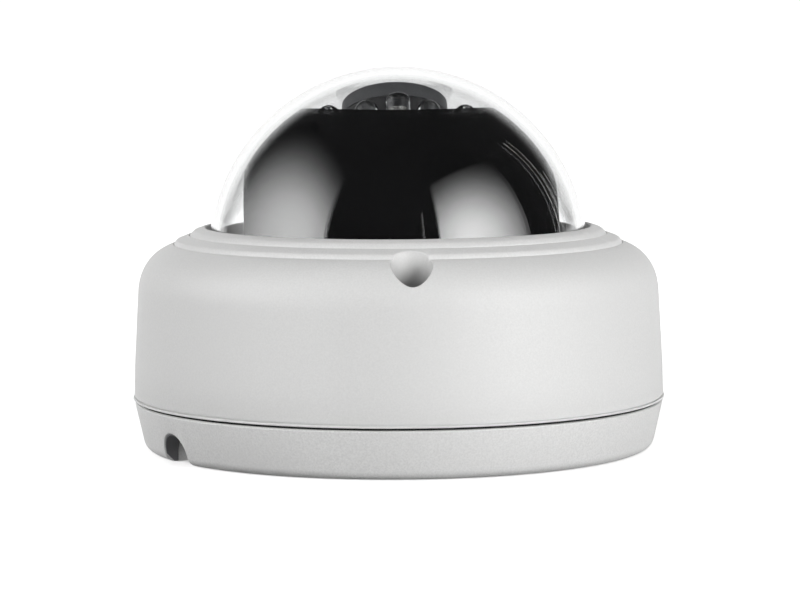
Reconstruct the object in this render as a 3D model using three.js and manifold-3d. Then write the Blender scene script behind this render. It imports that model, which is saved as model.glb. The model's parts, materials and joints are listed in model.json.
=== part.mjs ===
// Compact vandal-resistant dome camera, built as an assembly of separate pieces.
// Millimetres, +Z up. The origin is the centre of the base's underside, and the
// side that faces -Y is the front, where one of the three cover screws sits.
import * as THREE from 'three';
import { mergeVertices } from 'three/addons/utils/BufferGeometryUtils.js';
import Module from 'manifold-3d';

const wasm = await Module();
wasm.setup();

// ---------------------------------------------------------------- driving sizes
const SEAM_Z = 10.1;            // top of the base's outer wall
const SEAM_GAP = 0.35;          // shadow gap between base and cover
const BASE_R = 55.0;            // base wall at the seam
const LIP_R = 55.4;             // widest point, the bottom lip of the cover
const RIM_Z = 46.1;             // top of the cover, round its opening
const OPENING_R = 39.8;         // opening in the cover, which the bubble fills
const CENTRE_Z = 39.6;          // centre of the bubble and of the whole camera head
const BUBBLE_R = 39.5;
const BUBBLE_WALL = 1.9;
const SHROUD_R = 36.8;
const SHROUD_WALL = 1.2;
const SHROUD_TOP = 30.5;        // flat cut over the head, above the centre
const SHROUD_NEAR_FLAT = 31.3;  // half width of the shroud at the front
const SHROUD_FAR_FLAT = 29.9;   // half width behind, beside the viewing slot
const SLOT_HALF = 21.3;         // half width of the viewing slot
const SLOT_LOW = -11.0;         // foot of the slot, from the centre
const LEDGE_LOW = 4.8;          // thin ledge round the shroud, from the centre
const PAN_REST = 2.5;           // degrees the head is turned at rest
const TILT_REST = 24.5;         // degrees the lens leans from straight up at rest
const SCREW_CIRCLE = 48.7;      // the three cover screws
const SCREW_ANGLE = -86.9;      // the first one, degrees from +X
const NOTCH_ANGLE = -147.7;     // cable notch, degrees from +X
const NOTCH_W = 9.0;
const NOTCH_H = 6.3;
const CLEAR = 0.3;              // running gap between bodies
const SKIN = 0.05;              // gap left between pieces that touch
const BEYOND = 60;              // how far cutters run past what they cut
const SCREW_HOLE_R = 1.85;      // clearance hole for a cover screw
const TAP_R = 1.4;              // threaded holes of the small screws in the base
const ARM_TAP_R = 1.1;          // threaded holes of the two yoke screws
const FINE = 40;                // sides of the big round pieces
const ROUND = 24;               // sides of the rings inside
const SMALL = 12;
const TINY = 8;

// ---------------------------------------------------------------- materials
function paint(colour, roughness, metalness, opacity = 1) {
  return new THREE.MeshStandardMaterial({
    color: colour, roughness, metalness, opacity, transparent: opacity < 1,
  });
}
const WHITE_CASTING = paint(0xe2e2e1, 0.55, 0.1);
const CLEAR_DOME = paint(0xf4f6f8, 0.05, 0.0, 0.3);
const BLACK_GLOSS = paint(0x121214, 0.2, 0.0);
const BLACK_SATIN = paint(0x202022, 0.5, 0.0);
const GREY_MOULDING = paint(0x4a4b4e, 0.6, 0.0);
const SEAL_RUBBER = paint(0x1b1b1c, 0.8, 0.0);
const STEEL = paint(0xb9bbbe, 0.3, 0.9);
const ALLOY = paint(0x9a9da1, 0.45, 0.8);
const BOARD_GREEN = paint(0x1f5a3a, 0.5, 0.0);
const BOARD_BLACK = paint(0x17191b, 0.5, 0.0);
const HEADER_WHITE = paint(0xe9e6dc, 0.5, 0.0);
const GLASS = paint(0x2a3350, 0.05, 0.0, 0.5);
const LED_CLEAR = paint(0xdfe6ec, 0.08, 0.0, 0.5);

// ---------------------------------------------------------------- solids
const rad = THREE.MathUtils.degToRad;

function weld(geometry) {
  geometry.deleteAttribute('normal');
  geometry.deleteAttribute('uv');
  const merged = mergeVertices(geometry, 1e-4);
  const index = merged.index.array;
  const kept = [];
  for (let i = 0; i < index.length; i += 3) {
    const [a, b, c] = [index[i], index[i + 1], index[i + 2]];
    if (a !== b && b !== c && c !== a) kept.push(a, b, c);
  }
  return { points: new Float32Array(merged.attributes.position.array), triangles: kept };
}

// A closed manifold from a three.js geometry, turned outside out when its faces point in.
function solid(geometry) {
  const { points, triangles } = weld(geometry);
  const build = (tris) => new wasm.Manifold(
    new wasm.Mesh({ numProp: 3, vertProperties: points, triVerts: new Uint32Array(tris) }));
  const made = build(triangles);
  if (made.volume() > 0) return made;
  const flipped = [];
  for (let i = 0; i < triangles.length; i += 3) {
    flipped.push(triangles[i], triangles[i + 2], triangles[i + 1]);
  }
  return build(flipped);
}

function toGeometry(manifold) {
  const mesh = manifold.getMesh();
  const geometry = new THREE.BufferGeometry();
  const points = new Float32Array((mesh.vertProperties.length / mesh.numProp) * 3);
  for (let i = 0; i < points.length / 3; i += 1) {
    for (let k = 0; k < 3; k += 1) points[3 * i + k] = mesh.vertProperties[i * mesh.numProp + k];
  }
  geometry.setAttribute('position', new THREE.BufferAttribute(points, 3));
  geometry.setIndex(new THREE.BufferAttribute(new Uint32Array(mesh.triVerts), 1));
  geometry.computeVertexNormals();
  return geometry;
}

// A solid of revolution about Z. The outline [r, z] closes on itself or ends on the axis.
function turned(outline, segments = ROUND) {
  const points = outline.map(([r, z]) => new THREE.Vector2(r, z));
  const onAxis = outline[0][0] === 0 && outline[outline.length - 1][0] === 0;
  if (!onAxis) points.push(points[0].clone());
  const geometry = new THREE.LatheGeometry(points, segments);
  geometry.rotateX(Math.PI / 2);
  return solid(geometry);
}

function disc(r, z0, z1, segments = ROUND) {
  return turned([[0, z0], [r, z0], [r, z1], [0, z1]], segments);
}

function ring(inner, outer, z0, z1, segments = ROUND) {
  return turned([[inner, z0], [outer, z0], [outer, z1], [inner, z1]], segments);
}

function block(x0, x1, y0, y1, z0, z1) {
  const geometry = new THREE.BoxGeometry(x1 - x0, y1 - y0, z1 - z0);
  geometry.translate((x0 + x1) / 2, (y0 + y1) / 2, (z0 + z1) / 2);
  return solid(geometry);
}

function rod(x, y, r, z0, z1, segments = SMALL) {
  return disc(r, z0, z1, segments).translate([x, y, 0]);
}

function union(...parts) {
  return parts.reduce((all, part) => all.add(part));
}

function cut(body, ...tools) {
  return tools.reduce((left, tool) => left.subtract(tool), body);
}

function arc(cx, cz, r, from, to, steps) {
  return Array.from({ length: steps + 1 }, (_, i) => {
    const a = rad(from + ((to - from) * i) / steps);
    return [cx + r * Math.cos(a), cz + r * Math.sin(a)];
  });
}

function bezier(p0, p1, p2, p3, steps) {
  const curve = new THREE.CubicBezierCurve(
    new THREE.Vector2(...p0), new THREE.Vector2(...p1),
    new THREE.Vector2(...p2), new THREE.Vector2(...p3));
  return curve.getPoints(steps).map((p) => [p.x, p.y]);
}

function polar(radius, degrees) {
  return [radius * Math.cos(rad(degrees)), radius * Math.sin(rad(degrees))];
}

// Upright rods, one at each angle on a circle about Z.
function rodsAt(circle, angles, r, z0, z1, segments = SMALL) {
  return angles.map((angle) => rod(...polar(circle, angle), r, z0, z1, segments));
}

// Screw with a socket head: the head spans headZ..headZ + headH, the shank ends at tipZ.
function screw(headR, headZ, headH, shankR, tipZ, socketR) {
  const body = turned([
    [0, tipZ], [shankR, tipZ], [shankR, headZ], [headR, headZ], [headR, headZ + headH * 0.75],
    [headR * 0.85, headZ + headH], [0, headZ + headH],
  ], TINY);
  const socket = disc(socketR, headZ + headH * 0.45, headZ + headH + 1, 6);
  return cut(body, socket);
}

const model = new THREE.Group();

function add(group, name, manifold, material) {
  const mesh = new THREE.Mesh(toGeometry(manifold), material);
  mesh.name = name;
  group.add(mesh);
  return mesh;
}

const COVER_ANGLES = [0, 120, 240].map((turn) => SCREW_ANGLE + turn);
const LEG_ANGLES = COVER_ANGLES.map((angle) => angle + 60);

// ---------------------------------------------------------------- base
const FLOOR_LOW = 5.0;
const FLOOR_TOP = 7.6;
const SPIGOT_R = 52.4;          // upright ring that the cover fits over
const SPIGOT_TOP = 13.4;
const SPIGOT_IN = 50.3;
const RECESS_R = 47.6;          // wiring recess under the floor
const SCREW_POST_R = 3.2;
const BOARD_Z = 12.0;
const BOARD_T = 1.6;
const BOARD_POST_R = 31.5;
const BOARD_POST_W = 3.0;
const SEAT_SCREW_R = 43.4;
const GLAND_AT = [-22.0, -11.0];
const GLAND_R = 5.0;
const GLAND_HOLE_R = 3.3;
const GLAND_LIP_R = 6.4;
const ANCHOR_AT = [[0, 38], [33, -19], [-33, 19], [0, -38]];
const ANCHOR_R = 2.2;

function baseHousing() {
  const shell = turned([
    [0, FLOOR_LOW], [RECESS_R, FLOOR_LOW], [RECESS_R, 0],
    ...bezier([50.2, 0], [51.8, 0], [52.9, 0.5], [53.3, 2.0], 5),
    [BASE_R, SEAM_Z - 0.6], [BASE_R - 0.3, SEAM_Z], [SPIGOT_R + 0.3, SEAM_Z],
    [SPIGOT_R, SEAM_Z + 0.5], [SPIGOT_R, SPIGOT_TOP - 0.4], [SPIGOT_R - 0.4, SPIGOT_TOP],
    [SPIGOT_IN, SPIGOT_TOP], [SPIGOT_IN, FLOOR_TOP], [0, FLOOR_TOP],
  ], FINE);
  const within = disc(SPIGOT_R, 0, SPIGOT_TOP, FINE);
  const screwPosts = union(...rodsAt(SCREW_CIRCLE, COVER_ANGLES, SCREW_POST_R, FLOOR_LOW, SPIGOT_TOP));
  const boardPosts = rodsAt(BOARD_POST_R, COVER_ANGLES, BOARD_POST_W, FLOOR_TOP - 0.5, BOARD_Z - SKIN);
  return cut(
    union(shell, screwPosts.intersect(within), ...boardPosts),
    ...rodsAt(SCREW_CIRCLE, COVER_ANGLES, SCREW_HOLE_R, FLOOR_LOW + 1.2, BEYOND),
    ...rodsAt(BOARD_POST_R, COVER_ANGLES, TAP_R, FLOOR_TOP + 0.6, BEYOND, TINY),
    ...rodsAt(SEAT_SCREW_R, LEG_ANGLES, TAP_R, FLOOR_LOW + 0.7, BEYOND, TINY),
    ...ANCHOR_AT.map(([x, y]) => rod(x, y, ANCHOR_R, 0, BEYOND, TINY)),
    rod(...GLAND_AT, GLAND_R, 0, BEYOND),
    cableNotch(),
  );
}

// Arched passage through the base wall, open at the bottom, for a cable run on the surface.
function cableNotch() {
  const shape = new THREE.Shape();
  shape.moveTo(-NOTCH_W / 2, -1);
  shape.lineTo(NOTCH_W / 2, -1);
  shape.lineTo(NOTCH_W / 2, NOTCH_H - NOTCH_W / 2);
  shape.absarc(0, NOTCH_H - NOTCH_W / 2, NOTCH_W / 2, 0, Math.PI, false);
  shape.closePath();
  const geometry = new THREE.ExtrudeGeometry(shape, { depth: 14, bevelEnabled: false, curveSegments: 6 });
  geometry.rotateX(Math.PI / 2);
  geometry.translate(0, 60, 0);
  geometry.rotateZ(rad(NOTCH_ANGLE - 90));
  return solid(geometry);
}

function cableGrommet() {
  const [x, y] = GLAND_AT;
  const r = GLAND_R - 0.1;
  const tip = GLAND_HOLE_R + 0.8;
  return turned([
    [GLAND_HOLE_R, FLOOR_LOW - 2.2], [tip, FLOOR_LOW - 2.2], [GLAND_LIP_R, FLOOR_LOW - 0.9],
    [GLAND_LIP_R, FLOOR_LOW - 0.1], [r, FLOOR_LOW - 0.1], [r, FLOOR_TOP + 0.1], [GLAND_LIP_R, FLOOR_TOP + 0.1],
    [GLAND_LIP_R, FLOOR_TOP + 1.1], [tip, FLOOR_TOP + 2.0], [GLAND_HOLE_R, FLOOR_TOP + 2.0],
  ], SMALL).translate([x, y, 0]);
}

// ---------------------------------------------------------------- electronics in the base
const BOARD_R = 36.4;
const BOARD_TOP = BOARD_Z + BOARD_T;
const ON_BOARD = BOARD_TOP + SKIN;
const CABLE_HOLE_R = 4.2;
const CARD_TURN = -27;          // the card slot opens 63 degrees from +X, between two stand legs
const HEADER_D = 5.0;
const HEADER_H = 4.4;
const HEADER_WALL = 0.8;

function mainBoard() {
  return cut(
    disc(BOARD_R, BOARD_Z, BOARD_TOP),
    ...rodsAt(BOARD_POST_R, COVER_ANGLES, TAP_R + 0.2, 0, BEYOND, TINY),
    rod(...GLAND_AT, CABLE_HOLE_R, 0, BEYOND),
  );
}

function header(width, x, y, degrees) {
  const [halfW, halfD] = [width / 2, HEADER_D / 2];
  const shell = block(-halfW, halfW, -halfD, halfD, ON_BOARD, ON_BOARD + HEADER_H);
  const socket = block(-halfW + HEADER_WALL, halfW - HEADER_WALL, -halfD + HEADER_WALL, halfD - HEADER_WALL,
    ON_BOARD + 1, BEYOND);
  return cut(shell, socket).rotate([0, 0, degrees]).translate([x, y, 0]);
}

// Metal card holder, open at its outer end.
function cardSlot() {
  const shell = block(-8, 8, 21, 35, ON_BOARD, ON_BOARD + 2.2);
  return cut(shell, block(-6.8, 6.8, 22, 36, ON_BOARD + 0.5, ON_BOARD + 1.8)).rotate([0, 0, CARD_TURN]);
}

// ---------------------------------------------------------------- gimbal stand
const SEAT_LOW = 20.0;
const SEAT_TOP = 22.0;
const SEAT_IN = 28.5;
const SEAT_OUT = 40.2;
const LEG_IN = 37.7;
const LEG_W = 9.0;
const LEG_FOOT_OUT = 47.0;
const LEG_FOOT_T = 2.0;

function gimbalSeat() {
  const low = FLOOR_TOP + SKIN;
  const legs = LEG_ANGLES.map((angle) => union(
    block(LEG_IN, SEAT_OUT, -LEG_W / 2, LEG_W / 2, low, SEAT_LOW + 1),
    block(LEG_IN, LEG_FOOT_OUT, -LEG_W / 2, LEG_W / 2, low, low + LEG_FOOT_T),
  ).rotate([0, 0, angle]));
  const whole = union(ring(SEAT_IN, SEAT_OUT, SEAT_LOW, SEAT_TOP, FINE), ...legs);
  return cut(whole, ...rodsAt(SEAT_SCREW_R, LEG_ANGLES, TAP_R, 0, SEAT_LOW - 1, TINY));
}

const TURNTABLE_R = 37.3;
const TURNTABLE_TOP = 23.6;
const RETAINER_IN = 35.6;
const RETAINER_TOP = 25.4;

function panRetainer() {
  const [wall, under] = [TURNTABLE_R + 0.4, TURNTABLE_TOP + CLEAR];
  return turned([
    [RETAINER_IN, under], [wall, under], [wall, SEAT_TOP + SKIN], [SEAT_OUT, SEAT_TOP + SKIN],
    [SEAT_OUT, RETAINER_TOP - 0.6], [SEAT_OUT - 0.6, RETAINER_TOP], [RETAINER_IN, RETAINER_TOP],
  ], FINE);
}

// ---------------------------------------------------------------- cover
const COVER_LOW = SEAM_Z + SEAM_GAP;
const STEP_Z = 39.0;
const POCKET_R = 3.85;
const POCKET_FLOOR = 33.0;
const BOSS_R = 5.0;             // thick wall round each cover screw
const BOSS_LOW = 14.0;
const BOSS_TOP = 41.0;
const CLAMP_SCREW_R = 44.9;
const CLAMP_TAP_R = 1.35;
const FLANGE_R = 42.9;          // foot of the bubble
const FLANGE_LOW = 36.4;
const FLANGE_TOP = 38.2;
const CLAMP_IN = 38.2;
const CLAMP_OUT = 46.3;
const CLAMP_LOW = 34.5;

// Outside of the cover from its bottom lip up to the opening: a wall that leans in a little,
// a big round shoulder, then two low rounded steps round the bubble.
function coverOutside() {
  return [
    [LIP_R - 0.3, COVER_LOW], [LIP_R, COVER_LOW + 0.2], [LIP_R, COVER_LOW + 0.4],
    [LIP_R - 0.3, COVER_LOW + 0.7], [55.0, 17.5], [54.45, 27.6],
    ...bezier([54.15, 33.0], [53.9, 38.3], [50.6, 41.6], [46.8, 42.6], 5),
    [46.5, 42.9], ...bezier([46.35, 43.1], [46.2, 43.45], [46.0, 43.6], [45.6, 43.75], 2),
    [43.5, 44.5], ...bezier([43.0, 44.75], [42.7, 45.1], [42.6, 45.4], [42.1, 45.6], 3),
    [40.4, RIM_Z], [OPENING_R, RIM_Z - 0.5],
  ];
}

function domeCover() {
  const outside = turned([[0, COVER_LOW], ...coverOutside(), [OPENING_R, STEP_Z + 1], [0, STEP_Z + 1]], FINE);
  const inside = turned([
    [0, COVER_LOW - 1], [52.85, COVER_LOW - 1], [52.85, 13.9], [51.9, 31.5],
    ...bezier([51.7, 33.0], [51.3, 36.2], [49.4, 38.6], [46.9, STEP_Z], 2), [0, STEP_Z],
  ], FINE);
  const bosses = union(...rodsAt(SCREW_CIRCLE, COVER_ANGLES, BOSS_R, BOSS_LOW, BOSS_TOP));
  return cut(
    cut(outside, inside).add(bosses.intersect(outside)),
    disc(OPENING_R, 0, BEYOND, FINE),
    ...rodsAt(SCREW_CIRCLE, COVER_ANGLES, POCKET_R, POCKET_FLOOR, BEYOND),
    ...rodsAt(SCREW_CIRCLE, COVER_ANGLES, SCREW_HOLE_R, 0, POCKET_FLOOR + 1, TINY),
    ...rodsAt(CLAMP_SCREW_R, LEG_ANGLES, CLAMP_TAP_R, 30, STEP_Z + 2.4, TINY),
  );
}

function clearBubble() {
  const outer = arc(0, CENTRE_Z, BUBBLE_R, 0, 90, 9);
  const inner = arc(0, CENTRE_Z, BUBBLE_R - BUBBLE_WALL, 90, 0, 9);
  outer[outer.length - 1][0] = 0;
  inner[0][0] = 0;
  return turned([
    ...inner, [BUBBLE_R - BUBBLE_WALL, FLANGE_LOW],
    [FLANGE_R, FLANGE_LOW], [FLANGE_R, FLANGE_TOP], [BUBBLE_R, FLANGE_TOP], ...outer,
  ], FINE);
}

function clampRing() {
  const body = turned([
    [CLAMP_IN, CLAMP_LOW], [CLAMP_OUT, CLAMP_LOW], [CLAMP_OUT, STEP_Z - 0.1], [FLANGE_R + 0.4, STEP_Z - 0.1],
    [FLANGE_R + 0.4, FLANGE_LOW - 0.1], [CLAMP_IN, FLANGE_LOW - 0.1],
  ], FINE);
  return cut(
    body,
    ...rodsAt(SCREW_CIRCLE, COVER_ANGLES, BOSS_R + 0.4, 0, BEYOND),
    ...rodsAt(CLAMP_SCREW_R, LEG_ANGLES, CLAMP_TAP_R, 0, BEYOND, TINY),
  );
}

// ---------------------------------------------------------------- head, in its own frame
const HUB_TOP = 27.0;
const HUB_IN = 26.5;
const ARM_IN = 24.9;
const ARM_OUT = 27.0;
const FOOT_OUT = 28.3;
const YOKE_SCREW_AT = [26.9, 9.2];
const ARM_HALF = 7.0;
const FOOT_HALF = 11.0;
const FOOT_T = 2.0;
const PIVOT_R = 2.0;
const ON_HUB = HUB_TOP + SKIN;

function panRing() {
  return turned([
    [HUB_IN, SEAT_TOP + CLEAR], [TURNTABLE_R, SEAT_TOP + CLEAR], [TURNTABLE_R, TURNTABLE_TOP],
    [RETAINER_IN - 0.4, TURNTABLE_TOP], [RETAINER_IN - 0.4, HUB_TOP], [HUB_IN, HUB_TOP],
  ], FINE);
}

// Two upright arms with pivot bores, tied together by a half ring on the hub.
function yoke() {
  const arm = union(
    block(ARM_IN, ARM_OUT, -ARM_HALF, ARM_HALF, ON_HUB, CENTRE_Z),
    disc(ARM_HALF, -ARM_OUT, -ARM_IN, 20).rotate([0, -90, 0]).translate([0, 0, CENTRE_Z]),
    block(ARM_IN, FOOT_OUT, -FOOT_HALF, FOOT_HALF, ON_HUB, ON_HUB + FOOT_T),
  );
  const tie = cut(ring(HUB_IN, FOOT_OUT + 0.3, ON_HUB, ON_HUB + 1.2), block(-BEYOND, BEYOND, 0, BEYOND, 0, BEYOND));
  const [sx, sy] = YOKE_SCREW_AT;
  const bore = disc(PIVOT_R + CLEAR, -BEYOND, BEYOND, SMALL).rotate([0, 90, 0]).translate([0, 0, CENTRE_Z]);
  return cut(
    union(arm, arm.rotate([0, 0, 180]), tie),
    bore, rod(sx, sy, ARM_TAP_R, 0, BEYOND, TINY), rod(-sx, -sy, ARM_TAP_R, 0, BEYOND, TINY),
  );
}

// Dark ball round the head with flat sides and a flat top, open behind for the lens to swing through.
function shroud() {
  const low = ON_HUB - CENTRE_Z;
  const ball = (r, steps) => turned(arc(0, 0, r, -90, 90, steps).map(([x, z], i) => (
    [i === 0 || i === steps ? 0 : x, z])), 36);
  const limits = (inset, top) => union(
    block(-SHROUD_NEAR_FLAT + inset, SHROUD_NEAR_FLAT - inset, -BEYOND, 0.01, -BEYOND, top),
    block(-SHROUD_FAR_FLAT + inset, SHROUD_FAR_FLAT - inset, 0, BEYOND, -BEYOND, top),
  );
  const outer = ball(SHROUD_R, 14).intersect(limits(0, SHROUD_TOP));
  const inner = ball(SHROUD_R - SHROUD_WALL, 14).intersect(limits(SHROUD_WALL, BEYOND));
  const flange = disc(SHROUD_R - 0.1, LEDGE_LOW, LEDGE_LOW + 0.8, 36);
  const slot = block(-SLOT_HALF, SLOT_HALF, 0, BEYOND, SLOT_LOW, BEYOND);
  const below = block(-BEYOND, BEYOND, -BEYOND, BEYOND, -BEYOND, low);
  return cut(union(outer, flange), inner, slot, below).translate([0, 0, CENTRE_Z]);
}

const RING_IN = 20.9;
const RING_OUT = 23.0;
const RING_HALF = 3.5;
const PAD_OUT = 24.4;           // flats on the tilt ring that face the yoke arms
const PAD_HALF = 5.0;
const PIVOT_TIP = 21.3;
const PIVOT_HEAD_R = 3.5;

function tiltRing() {
  const pads = block(-PAD_OUT, PAD_OUT, -PAD_HALF, PAD_HALF, -RING_HALF, RING_HALF);
  const bore = disc(PIVOT_R + 0.1, -BEYOND, BEYOND, SMALL).rotate([0, 90, 0]);
  return cut(ring(RING_IN, RING_OUT, -RING_HALF, RING_HALF).add(pads), disc(RING_IN, -BEYOND, BEYOND), bore);
}

function pivotScrew(side) {
  const made = turned([
    [0, PIVOT_TIP], [PIVOT_R, PIVOT_TIP], [PIVOT_R, ARM_OUT + CLEAR], [PIVOT_HEAD_R, ARM_OUT + CLEAR],
    [PIVOT_HEAD_R, ARM_OUT + 1.1], [PIVOT_HEAD_R - 0.4, ARM_OUT + 1.4], [0, ARM_OUT + 1.4],
  ], SMALL);
  const socket = disc(1.3, ARM_OUT + 0.6, ARM_OUT + 5, 6);
  return cut(made, socket).rotate([0, 90 * side, 0]);
}

const LED_BOARD_Z = 19.7;
const LED_BOARD_TOP = 21.3;
const LED_BOARD_IN = 11.3;
const LED_BOARD_OUT = 20.5;
const LED_R = 2.5;
const LED_FOOT_R = 2.75;
const LED_TIP = 29.7;
const HOOD_R = 11.4;
const HOOD_IN = 9.3;
const HOOD_SPLIT = 31.7;        // where the hood's cap meets its tube
const HOOD_TOP = 35.4;
// The lamps that light the scene, in pairs beside the lens, and the light sensor in front.
const LAMP_AT = [[6.4, -12.9], [14.3, -10.6], [6.4, 12.9], [14.3, 10.6]];
const SENSOR_AT = [0, -15.6];
const SENSOR_ROUNDING = 1.3;
const MODULE_IN = 17.5;
const FACE_TOP = 5.4;           // front face of the rotating module
const MOUNT_R = 8.9;            // tube that holds the lens

function moduleHousing() {
  return union(
    ring(MODULE_IN, RING_IN - CLEAR, -RING_HALF, FACE_TOP),
    ring(MODULE_IN, RING_OUT - 0.6, RING_HALF + CLEAR, FACE_TOP),
    ring(10.2, MODULE_IN + 0.5, 2.2, 4.2),
  );
}

function lensHolder() {
  const foot = block(-9, 9, -9, 9, -0.9, 2.0);
  const well = block(-7.4, 7.4, -7.4, 7.4, -2, 0.6);
  const filterSlot = block(-20, 6.6, -3.7, 3.7, 0.5, 1.7);
  return cut(
    union(foot, disc(MOUNT_R, 1.5, 13.5, 24)),
    disc(7.3, 3.0, BEYOND, 24), disc(3.4, -2, 5, SMALL), well, filterSlot,
  );
}

function lensBarrel() {
  return turned([
    [5.2, 4.0], [7.0, 4.0], [7.0, 14.0], [8.4, 14.6], [8.4, 30.6], [7.9, 31.2], [6.9, 31.2],
    [6.9, 28.6], [5.2, 26.5],
  ], 24);
}

// A clear 5 mm lamp. Its tip is a full dome, or flat with a smaller rounding round it.
function lamp(x, y, rounding = LED_R) {
  const low = LED_BOARD_TOP + SKIN;
  const tip = arc(LED_R - rounding, LED_TIP - rounding, rounding, 0, 90, 3);
  tip[tip.length - 1] = rounding === LED_R ? [0, LED_TIP] : [LED_R - rounding, LED_TIP];
  return turned([
    [0, low], [LED_FOOT_R, low], [LED_FOOT_R, low + 0.95], [LED_R, low + 0.95],
    ...tip, ...(rounding === LED_R ? [] : [[0, LED_TIP]]),
  ], SMALL).translate([x, y, 0]);
}

function hoodCap() {
  return turned([
    [HOOD_IN, HOOD_SPLIT + 0.1], [HOOD_R, HOOD_SPLIT + 0.1], [HOOD_R, HOOD_TOP - 0.9],
    [HOOD_R - 0.3, HOOD_TOP - 0.3], [HOOD_R - 0.9, HOOD_TOP], [HOOD_IN + 0.7, HOOD_TOP],
    [HOOD_IN - 0.5, HOOD_TOP - 1.9],
  ]);
}

// ---------------------------------------------------------------- assembly
add(model, 'base_housing', baseHousing(), WHITE_CASTING);
add(model, 'base_gasket', ring(SPIGOT_R + 0.4, BASE_R - 1.1, SEAM_Z + SKIN, COVER_LOW - SKIN, FINE), SEAL_RUBBER);
add(model, 'cable_grommet', cableGrommet(), SEAL_RUBBER);
add(model, 'main_board', mainBoard(), BOARD_GREEN);
add(model, 'main_chip', block(-6, 6, -6, 6, ON_BOARD, ON_BOARD + 1.3), BOARD_BLACK);
add(model, 'network_header', header(16, 29.5, 0, 90), HEADER_WHITE);
add(model, 'power_header', header(8, 22, -20, -42), HEADER_WHITE);
add(model, 'card_slot', cardSlot(), ALLOY);
add(model, 'memory_card',
  block(-5.5, 5.5, 22.5, 35.4, ON_BOARD + 0.8, ON_BOARD + 1.5).rotate([0, 0, CARD_TURN]), BLACK_SATIN);
add(model, 'reset_switch', block(-33.1, -26.9, -0.1, 6.1, ON_BOARD, BOARD_TOP + 2.0), ALLOY);
add(model, 'reset_cap', rod(-30, 3, 1.6, BOARD_TOP + 2.7, BOARD_TOP + 4.2), BLACK_SATIN);
add(model, 'gimbal_seat', gimbalSeat(), GREY_MOULDING);
add(model, 'pan_retainer', panRetainer(), GREY_MOULDING);
COVER_ANGLES.forEach((angle, i) => {
  const [x, y] = polar(BOARD_POST_R, angle);
  add(model, `board_screw_${i + 1}`,
    screw(2.3, ON_BOARD, 1.6, 1.15, FLOOR_TOP + 1.0, 0.8).translate([x, y, 0]), STEEL);
});
LEG_ANGLES.forEach((angle, i) => {
  const [x, y] = polar(SEAT_SCREW_R, angle);
  add(model, `seat_screw_${i + 1}`,
    screw(2.3, FLOOR_TOP + LEG_FOOT_T + 2 * SKIN, 1.6, 1.15, FLOOR_LOW + 1.0, 0.8).translate([x, y, 0]), STEEL);
});

add(model, 'dome_cover', domeCover(), WHITE_CASTING);
add(model, 'clear_bubble', clearBubble(), CLEAR_DOME);
add(model, 'bubble_gasket', ring(40.3, FLANGE_R, FLANGE_TOP + SKIN, STEP_Z - SKIN, FINE), SEAL_RUBBER);
add(model, 'clamp_ring', clampRing(), GREY_MOULDING);
LEG_ANGLES.forEach((angle, i) => {
  const [x, y] = polar(CLAMP_SCREW_R, angle);
  add(model, `clamp_screw_${i + 1}`,
    screw(2.2, SKIN, 1.6, 1.1, -6.5, 0.8).rotate([180, 0, 0]).translate([x, y, CLAMP_LOW]), STEEL);
});
COVER_ANGLES.forEach((angle, i) => {
  const [x, y] = polar(SCREW_CIRCLE, angle);
  add(model, `cover_screw_${i + 1}`,
    screw(3.2, POCKET_FLOOR + 0.1, 3.2, 1.5, 6.9, 1.5).translate([x, y, 0]), STEEL);
});

const pan = new THREE.Group();
pan.rotation.z = rad(PAN_REST);
model.add(pan);
add(pan, 'pan_ring', panRing(), BLACK_SATIN);
add(pan, 'yoke', yoke(), GREY_MOULDING);
add(pan, 'shroud', shroud(), BLACK_GLOSS);
[1, -1].forEach((side) => {
  add(pan, side > 0 ? 'yoke_screw_right' : 'yoke_screw_left',
    screw(1.3, ON_HUB + FOOT_T + 0.1, 0.9, 0.8, HUB_TOP + 0.3, 0.5)
      .translate(YOKE_SCREW_AT.map((v) => v * side).concat(0)), STEEL);
});

const tilt = new THREE.Group();
tilt.position.z = CENTRE_Z;
tilt.rotation.x = -rad(TILT_REST);
pan.add(tilt);
add(tilt, 'tilt_ring', tiltRing(), BLACK_SATIN);
add(tilt, 'pivot_screw_right', pivotScrew(1), STEEL);
add(tilt, 'pivot_screw_left', pivotScrew(-1), STEEL);

// The rotating camera module and all it carries.
add(tilt, 'module_housing', moduleHousing(), BLACK_SATIN);
add(tilt, 'roll_retainer', ring(MODULE_IN + 0.1, RING_OUT - 0.6, -RING_HALF - CLEAR - 1.6, -RING_HALF - CLEAR), BLACK_SATIN);
add(tilt, 'sensor_board', disc(16.6, -2.6, -1.0), BOARD_GREEN);
add(tilt, 'image_sensor', block(-4.5, 4.5, -4.5, 4.5, -0.95, 0.35), BOARD_BLACK);
add(tilt, 'heat_sink', disc(15.0, -6.4, -2.7), ALLOY);
add(tilt, 'lens_holder', lensHolder(), BLACK_SATIN);
add(tilt, 'led_bracket', ring(18.2, 19.6, FACE_TOP + SKIN, LED_BOARD_Z - SKIN), BLACK_SATIN);
add(tilt, 'led_board', ring(LED_BOARD_IN, LED_BOARD_OUT, LED_BOARD_Z, LED_BOARD_TOP), BOARD_BLACK);
add(tilt, 'lens_hood', ring(HOOD_IN, HOOD_R, LED_BOARD_TOP + 0.1, HOOD_SPLIT), BLACK_SATIN);
add(tilt, 'hood_cap', hoodCap(), GREY_MOULDING);
const lamps = LAMP_AT.flatMap(([x, y]) => [[-x, y], [x, y]]);
lamps.forEach(([x, y], i) => add(tilt, `infrared_lamp_${i + 1}`, lamp(x, y), LED_CLEAR));
add(tilt, 'light_sensor', lamp(...SENSOR_AT, SENSOR_ROUNDING), LED_CLEAR);

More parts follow.
